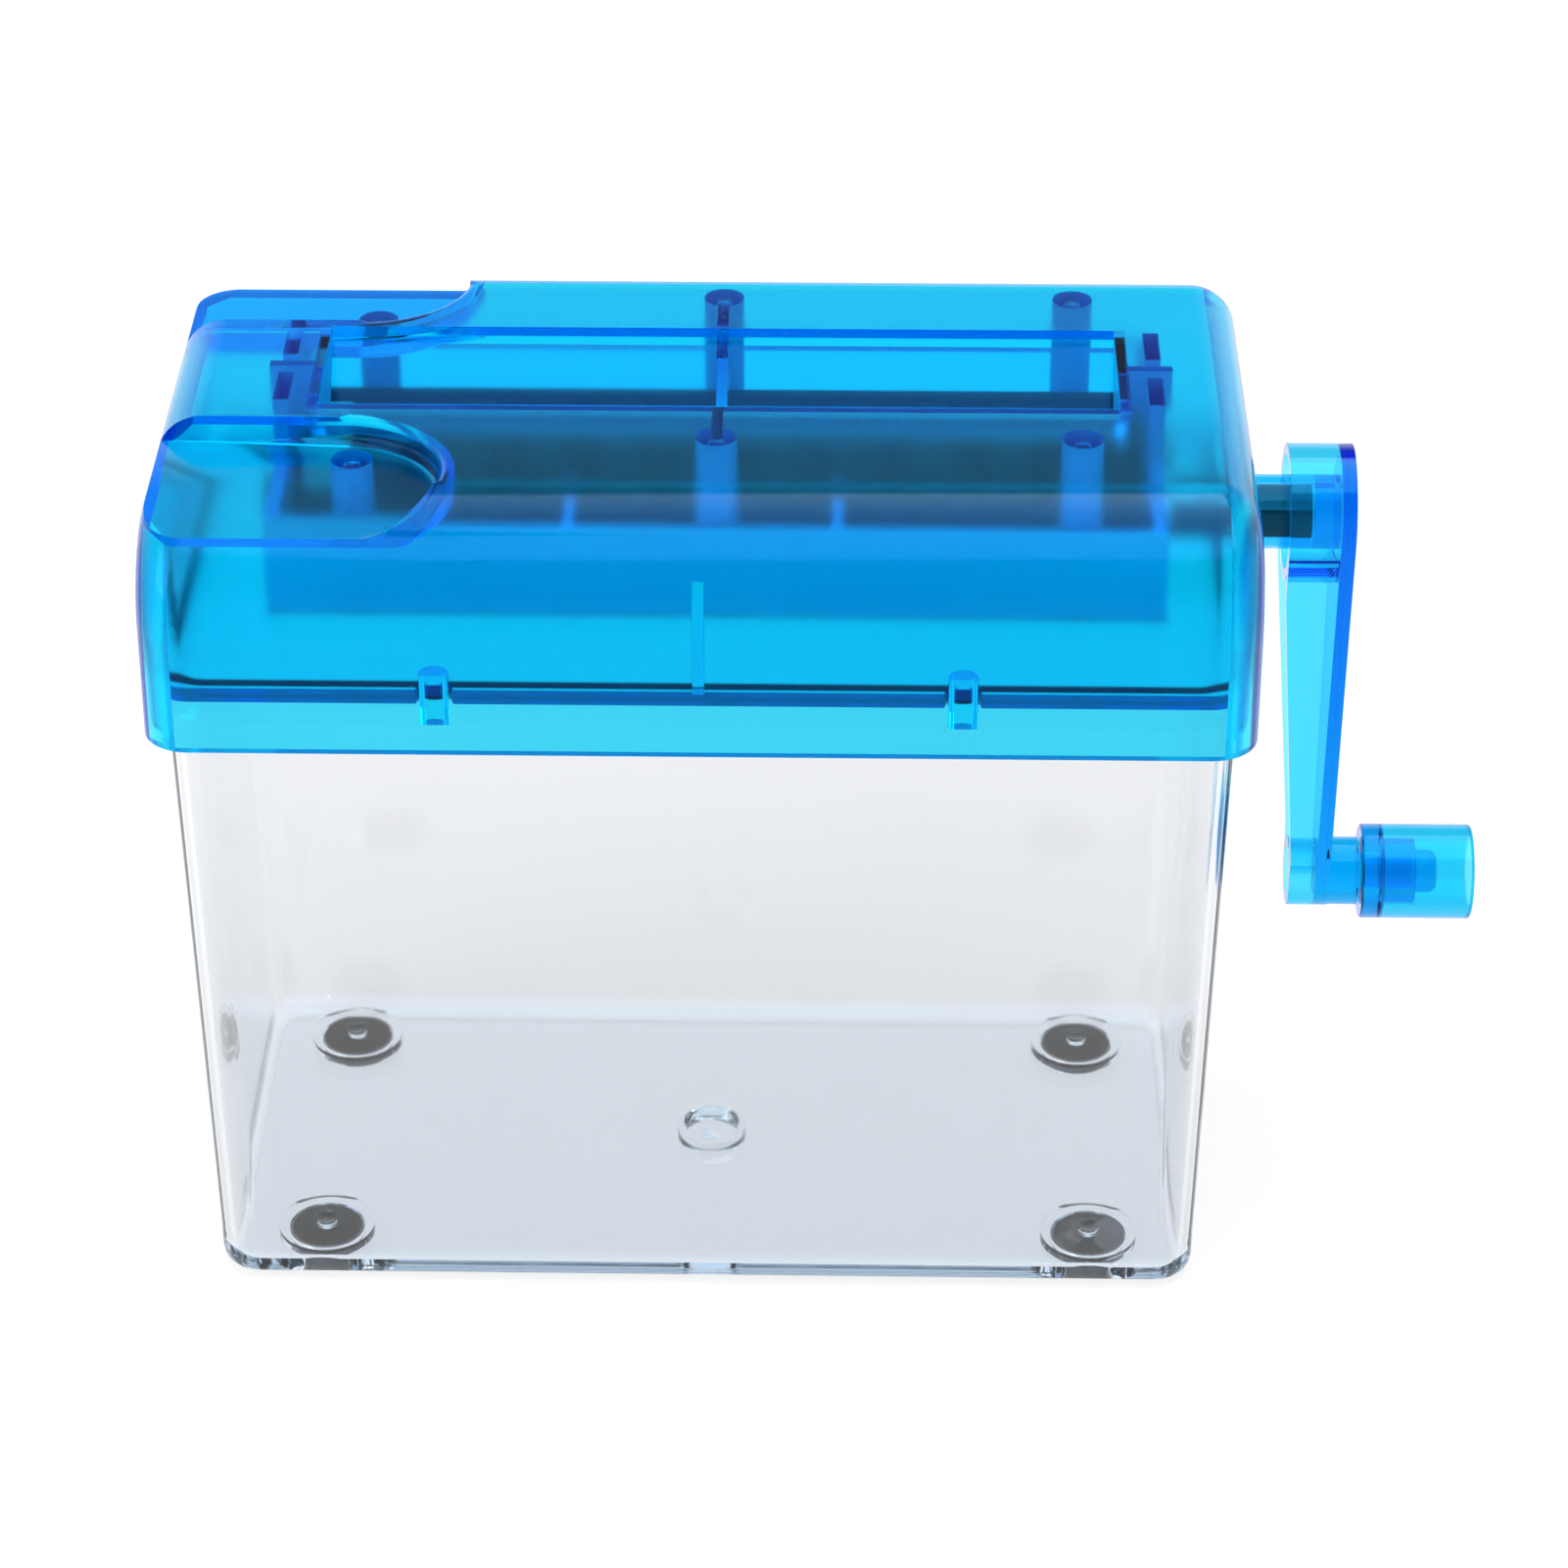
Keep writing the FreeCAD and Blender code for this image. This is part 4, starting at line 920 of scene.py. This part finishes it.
@dataclass
class FrostedHead:
    """The cover, the plate under the mechanism, the two combs and the screws."""

    cover_softness: float = 0.7 * MM
    plate_softness: float = 0.3 * MM
    comb_softness: float = 0.15 * MM
    post_middle: float = 2.0 * MM
    post_step: float = 57.0 * MM
    post_rows: tuple[float, float] = (-12.2 * MM, 37.4 * MM)
    post_radius: float = 3.25 * MM
    post_bore: float = 1.3 * MM
    post_bottom: float = 124.0 * MM
    post_roof: float = 2.0 * MM
    post_gap: float = 0.1 * MM
    bore_top: float = 139.5 * MM
    hollow_bore_top: float = 135.5 * MM
    hollow_end: float = -37.0 * MM
    end_round: float = -77.0 * MM
    hollow_rounding: tuple[tuple[float, float], ...] = (
        (139.6 * MM, 1.8 * MM),
        (144.0 * MM, 1.2 * MM),
        (137.4 * MM, 1.8 * MM),
    )
    hollow_steps: int = 5
    hollow_reach: tuple[float, float] = (137.3 * MM, 143.99 * MM)
    wall_frost: float = 0.8
    chute_reach: float = 66.5 * MM
    chute_rows: tuple[float, float] = (-4.5 * MM, 27.0 * MM)
    chute_top: float = 141.5 * MM
    plate_depth: float = 3.0 * MM
    chute_middle: float = 12.3 * MM
    chute_end: float = 61.5 * MM
    throat_top: float = 133.6 * MM
    slot_back: float = 24.2 * MM
    slot_rounding: tuple[tuple[float, float], ...] = ((144.0 * MM, 1.3 * MM), (141.8 * MM, 0.8 * MM))
    level_slack: float = 0.1 * MM
    post_milk: float = 0.75
    chute_milk: float = 0.15
    end_milk: float = 0.5
    throat_milk: float = 1.0
    tongue_reach: float = 71.0 * MM
    tongue_milk: float = 0.7
    screw_radius: float = 2.0 * MM
    screw_crown: float = 0.8
    screw_height: float = 1.5 * MM
    recess_border: float = 0.5 * MM
    recess_waist: float = 0.6
    recess_arm: float = 0.35
    recess_depth: float = 0.8 * MM
    wall_front: float = -19.0 * MM
    wall_milk: float = 0.9
    edge_milk: float = 0.4

    def post_places(self) -> list[Vector]:
        """The six screw posts' axes, at the height of their bores' tops.

        Returns:
            One place on each axis.
        """
        return [
            Vector((self.post_middle + step * self.post_step, row, self.hollow_bore_top if step < 0 else self.bore_top))
            for row in self.post_rows
            for step in (-1, 0, 1)
        ]

    def on_post(self, place: Vector) -> bool:
        """Whether a place lies on one of the screw posts.

        Args:
            place: A place on the piece.

        Returns:
            True on a post.
        """
        reach = self.post_radius + self.cover_softness
        return any(
            place.z < post.z + self.post_roof and (place - post).xy.length < reach for post in self.post_places()
        )

    def cover_milk(self, place: Vector) -> float:
        """How milky the cover is at a place: its posts, its tongues and most of the chute are.

        Args:
            place: A place on the piece.

        Returns:
            The share of milky plastic.
        """
        if self.on_post(place):
            return self.post_milk
        aside = abs(place.x - self.post_middle)
        if place.z > self.chute_top or aside > self.tongue_reach:
            return 0.0
        if aside > self.chute_reach:
            return self.tongue_milk
        return self.chute_share(place, aside) if self.in_chute(place) else 0.0

    def chute_share(self, place: Vector, aside: float) -> float:
        """How milky the chute is: its ends, its front wall and its throat are.

        Args:
            place: A place on the piece.
            aside: How far that place is from the middle post.

        Returns:
            The share of milky plastic.
        """
        if aside > self.chute_end:
            return self.end_milk
        if place.y < self.chute_middle:
            return self.chute_milk
        return self.throat_milk if place.z < self.throat_top else 0.0

    def plate_milk(self, place: Vector) -> float:
        """How milky the plate is at a place: its front edge and the frame's front wall are.

        Args:
            place: A place on the piece.

        Returns:
            The share of milky plastic.
        """
        low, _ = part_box("base_plate")
        if place.y < low.y + self.cover_softness:
            return self.edge_milk
        return self.wall_milk if place.z > low.z + self.plate_depth and place.y < self.wall_front else 0.0

    def in_chute(self, place: Vector) -> bool:
        """Whether a place lies on the feed slot's chute, which is polished."""
        across = abs(place.x - self.post_middle) < self.chute_reach
        return across and self.chute_rows[0] < place.y < self.chute_rows[1] and place.z < self.chute_top

    def in_hollow_wall(self, face: bmesh.types.BMFace) -> bool:
        """Whether a face belongs to the walls or the lips of a finger hollow.

        Args:
            face: A face of the cover.

        Returns:
            True on a wall or a lip.
        """
        low, high = self.hollow_reach
        place = face.calc_center_median()
        return place.x < self.hollow_end and low < place.z < high and abs(face.normal.z) < LEVEL_LIMIT

    def on_hollow(self, edge: bmesh.types.BMEdge, level: float) -> bool:
        """Whether an edge belongs to a finger hollow and lies at a level.

        Args:
            edge: An edge of the cover.
            level: The height of the level.

        Returns:
            True on such an edge.
        """
        places = [vert.co for vert in edge.verts]
        level_with = all(abs(place.z - level) < self.level_slack for place in places)
        beside = all(self.end_round < place.x < self.hollow_end for place in places)
        return level_with and beside and not any(self.on_post(place) for place in places)

    def on_slot_back(self, edge: bmesh.types.BMEdge, level: float) -> bool:
        """Whether an edge belongs to the slot's back and lies at a level."""
        places = [vert.co for vert in edge.verts]
        return all(max(abs(p.z - level), abs(p.y - self.slot_back)) < self.level_slack for p in places)

    def round_hollows(self, shape: bmesh.types.BMesh) -> None:
        """Give the finger hollows and the slot's back their soft edges.

        Args:
            shape: The shape to change.
        """
        for test, rounding in ((self.on_hollow, self.hollow_rounding), (self.on_slot_back, self.slot_rounding)):
            for level, width in rounding:
                soften(shape, width, self.hollow_steps, partial(test, level=level), held=False)
        keep_inside(shape, "top_cover")

    def dress_cover(self, shape: bmesh.types.BMesh) -> None:
        """Bore the screw posts and mark what is frosted and what is milky.

        Args:
            shape: The shape to change.
        """
        mark_inner_faces(shape, self.in_chute)
        etched = shape.faces.layers.float[INNER_FACE]
        for face in shape.faces:
            if self.in_hollow_wall(face):
                face[etched] = self.wall_frost
        mark_faces(shape, MILKY_FACE, self.cover_milk)
        for vert in shape.verts:
            if self.on_post(vert.co) and vert.co.z < self.post_bottom + self.cover_softness:
                vert.co.z += self.post_gap
        for post in self.post_places():
            add_void(shape, post, self.post_bore, post.z - self.post_bottom - self.cover_softness)

    def dress_plate(self, shape: bmesh.types.BMesh) -> None:
        """Mark what is milky."""
        mark_faces(shape, MILKY_FACE, self.plate_milk)

    def build(self) -> None:
        """Make the four mouldings and the screws."""
        Moulding(
            "top_cover",
            Body.HEAD,
            FROSTED_BLUE,
            "frosted_blue",
            self.cover_softness,
            self.dress_cover,
            self.round_hollows,
        ).build()
        Moulding("base_plate", Body.HEAD, PLATE_BLUE, "plate_blue", self.plate_softness, self.dress_plate).build()
        for node in ("front_stripper_comb", "rear_stripper_comb"):
            Moulding(node, Body.HEAD, BLACK_PLASTIC, "comb_plastic", self.comb_softness).build()
        self.make_screws()

    def make_screws(self) -> None:
        """Make the heads of the six screws that hold the plate under the cover."""
        under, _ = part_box("base_plate")
        shape = bmesh.new()
        for post in self.post_places():
            middle = Vector((post.x, post.y, under.z - self.screw_height / 2))
            bmesh.ops.create_cone(
                shape,
                cap_ends=True,
                segments=ROUND_SEGMENTS,
                radius1=self.screw_radius * self.screw_crown,
                radius2=self.screw_radius,
                depth=self.screw_height,
                matrix=Matrix.Translation(middle),
            )
            self.drive_recess(shape, middle)
        make_piece(shape, "case_screws", Body.HEAD, BRIGHT_STEEL)

    def drive_recess(self, shape: bmesh.types.BMesh, middle: Vector) -> None:
        """Sink the cross for the screwdriver into the bottom of a screw head.

        Args:
            shape: The shape to change.
            middle: The screw head's middle.
        """
        face = level_face(shape, middle, -1.0)
        bmesh.ops.inset_region(shape, faces=[face], thickness=self.recess_border, use_even_offset=True)
        for vert in face.verts:
            arm = (vert.co - middle) * Vector((1.0, 1.0, 0.0))
            narrow = min(abs(arm.x), abs(arm.y)) / arm.length
            vert.co -= arm * (self.recess_waist if narrow > self.recess_arm else 0.0)
        sunk = bmesh.ops.extrude_discrete_faces(shape, faces=[face])["faces"][0]
        bmesh.ops.translate(shape, verts=sunk.verts[:], vec=(0.0, 0.0, self.recess_depth))


@dataclass
class CutterShaft:
    """One hexagon shaft with its cutters, spacers, gear, bushes and clips."""

    row: str
    body: Body
    shaft_softness: float = 0.2 * MM
    cutter_softness: float = 0.08 * MM
    gear_softness: float = 0.12 * MM
    bush_softness: float = 0.2 * MM
    clip_softness: float = 0.08 * MM

    def build(self) -> None:
        """Make every piece that turns with this shaft."""
        for part, finish, slot, softness in (
            ("shaft", SHAFT_STEEL, "shaft_steel", self.shaft_softness),
            ("cutters", DARK_STEEL, "cutter_steel", self.cutter_softness),
            ("spacers", BLACK_PLASTIC, "spacer_plastic", self.gear_softness),
            ("gear", GEAR_PLASTIC, "gear_plastic", self.gear_softness),
            ("left_bush", BLACK_PLASTIC, "bush_plastic", self.bush_softness),
            ("right_bush", BLACK_PLASTIC, "bush_plastic", self.bush_softness),
            ("clips", BRIGHT_STEEL, "clip_steel", self.clip_softness),
        ):
            Moulding(f"{self.row}_{part}", self.body, finish, slot, softness).build()


@dataclass
class Crank:
    """The channel-shaped arm and the knob that turns on it."""

    arm_softness: float = 0.4 * MM
    knob_softness: float = 0.4 * MM
    pin_axis: tuple[float, float] = (4.3 * MM, 54.0 * MM)
    knob_grip: float = 5.6 * MM
    knob_rounding: float = 0.95 * MM
    pin_tip: float = 121.0 * MM
    pin_rounding: float = 1.3 * MM
    round_steps: int = 4

    def round_knob(self, shape: bmesh.types.BMesh) -> None:
        """Round the knob's outer edges for the hand.

        Args:
            shape: The shape to change.
        """

        def outside(edge: bmesh.types.BMEdge) -> bool:
            """Whether an edge lies on the knob's grip."""
            return all((vert.co.yz - Vector(self.pin_axis)).length > self.knob_grip for vert in edge.verts)

        soften(shape, self.knob_rounding, self.round_steps, outside)

    def round_pin(self, shape: bmesh.types.BMesh) -> None:
        """Round the end of the pin that the knob turns on."""
        soften(shape, self.pin_rounding, self.round_steps, lambda edge: all(v.co.x > self.pin_tip for v in edge.verts))

    def build(self) -> None:
        """Make the arm and the knob."""
        Moulding(
            "crank_arm", Body.DRIVE, CRANK_BLUE, "crank_blue", self.arm_softness, first_rounding=self.round_pin
        ).build()
        Moulding(
            "crank_knob", Body.KNOB, KNOB_BLUE, "knob_blue", self.knob_softness, first_rounding=self.round_knob
        ).build()


@dataclass(frozen=True)
class SoftLamp:
    """A square lamp that looks at the object."""

    name: str
    place: Colour
    side: float
    power: float
    aim: Colour = (0.0, 0.0, 0.07)

    def build(self) -> None:
        """Hang the lamp and turn it."""
        lamp = bpy.data.lights.new(self.name, "AREA")
        lamp.size = self.side
        lamp.energy = self.power
        holder = bpy.data.objects.new(self.name, lamp)
        bpy.context.scene.collection.objects.link(holder)
        holder.location = self.place
        holder.rotation_mode = "QUATERNION"
        holder.rotation_quaternion = (Vector(self.aim) - Vector(self.place)).to_track_quat("-Z", "Y")


@dataclass
class Studio:
    """The pale floor, the soft light and the camera."""

    camera_place: Colour = (22.796 * MM, -686.009 * MM, 490.334 * MM)
    camera_yaw: float = math.radians(-1.47738)
    camera_pitch: float = math.radians(31.33594)
    camera_roll: float = math.radians(-0.27275)
    focal_pixels: float = 4968.14
    centre_pixels: float = 755.33
    sensor_width: float = 36.0
    clip_range: tuple[float, float] = (0.01, 100.0)
    lamps: tuple[SoftLamp, ...] = (
        SoftLamp("top_softbox", place=(0.1, 0.05, 1.1), side=1.2, power=14.0),
        SoftLamp("left_softbox", place=(-0.9, -0.6, 0.7), side=0.7, power=7.0),
    )
    floor_size: float = 40.0
    floor_colour: Colour = (0.96, 0.96, 0.96)
    floor_glow: float = 0.8
    ambient: float = 0.8
    dim_from: float = 0.2
    dim_over: float = 0.25
    ceiling: float = 0.16
    clear_bounces: int = 28

    def build(self) -> None:
        """Make the floor, the world, the lamps and the camera."""
        self.make_floor()
        self.make_world()
        for lamp in self.lamps:
            lamp.build()
        self.make_camera()
        scene = bpy.context.scene
        scene.view_settings.view_transform = "Standard"
        scene.cycles.max_bounces = self.clear_bounces
        scene.cycles.transmission_bounces = self.clear_bounces
        scene.cycles.glossy_bounces = self.clear_bounces

    @staticmethod
    def rays(recipe: Recipe) -> tuple[Value, Value, Value]:
        """Whether a ray comes from the camera, from a shiny piece and through a clear one.

        Args:
            recipe: The tree that asks.

        Returns:
            One for yes and nothing for no, for each of the three.
        """
        path = recipe.node("ShaderNodeLightPath")
        kinds = ("Is Camera Ray", "Is Glossy Ray", "Is Transmission Ray")
        camera, glossy, through = (Value(recipe.tree, path.outputs[kind]) for kind in kinds)
        return camera, glossy, through

    def make_floor(self) -> None:
        """A wide pale floor that keeps the shadow."""
        low, _ = CAD_BOX
        shape = bmesh.new()
        bmesh.ops.create_grid(shape, x_segments=1, y_segments=1, size=self.floor_size / 2)
        bmesh.ops.translate(shape, verts=shape.verts[:], vec=(0.0, 0.0, low.z))
        mesh = bpy.data.meshes.new("pale_floor")
        shape.to_mesh(mesh)
        shape.free()
        recipe = Recipe(bpy.data.materials.new("pale_floor"))
        camera, glossy, through = self.rays(recipe)
        seen = (camera + glossy + through).clamped()
        paint = recipe.node("ShaderNodeBsdfDiffuse", None, {"Color": (*self.floor_colour, 1.0)})
        glow = recipe.node("ShaderNodeEmission", None, {"Color": WHITE, "Strength": 1.0})
        recipe.output(recipe.mixed(seen * self.floor_glow, paint.outputs[0], glow.outputs[0]))
        mesh.materials.append(recipe.owner)
        floor = bpy.data.objects.new("pale_floor", mesh)
        bpy.context.scene.collection.objects.link(floor)

    def make_world(self) -> None:
        """A white room that lights the object softly and shows a dim ceiling in reflections."""
        world = bpy.data.worlds.new("white_room")
        bpy.context.scene.world = world
        recipe = Recipe(world)
        camera, glossy, through = self.rays(recipe)
        seen = (camera + through).clamped()
        mirror = glossy * (1.0 - through)
        way = recipe.node("ShaderNodeTexCoord").outputs["Generated"]
        rise = recipe.part_of(way, "Z")
        dimmed = ((rise - self.dim_from) / self.dim_over).clamped()
        mirrored = 1.0 - dimmed * (1.0 - self.ceiling)
        strength = self.ambient + seen * (1.0 - self.ambient) + mirror * (mirrored - self.ambient)
        light = recipe.node("ShaderNodeBackground", None, {"Color": WHITE, "Strength": strength})
        recipe.node("ShaderNodeOutputWorld", None, {"Surface": light.outputs[0]})

    def make_camera(self) -> None:
        """The camera that took the photograph."""
        data = bpy.data.cameras.new("photo_camera")
        data.sensor_width = self.sensor_width
        data.lens = self.focal_pixels / PHOTO_SIDE * self.sensor_width
        data.shift_x = (PHOTO_SIDE / 2 - self.centre_pixels) / PHOTO_SIDE
        data.clip_start, data.clip_end = self.clip_range
        camera = bpy.data.objects.new("photo_camera", data)
        bpy.context.scene.collection.objects.link(camera)
        level = Matrix.Rotation(math.pi / 2 - self.camera_pitch, 4, "X")
        turned = Matrix.Rotation(-self.camera_yaw, 4, "Z")
        rolled = Matrix.Rotation(self.camera_roll, 4, "Z")
        camera.matrix_world = Matrix.Translation(self.camera_place) @ turned @ level @ rolled
        bpy.context.scene.camera = camera


def main() -> None:
    """Build the shredder and the studio round it."""
    logging.basicConfig(level=logging.INFO, format="%(message)s")
    for assembly in (
        ClearBin(),
        FrostedHead(),
        CutterShaft("drive", Body.DRIVE),
        CutterShaft("idler", Body.IDLER),
        Crank(),
        Studio(),
    ):
        assembly.build()


if __name__ == "__main__":
    main()
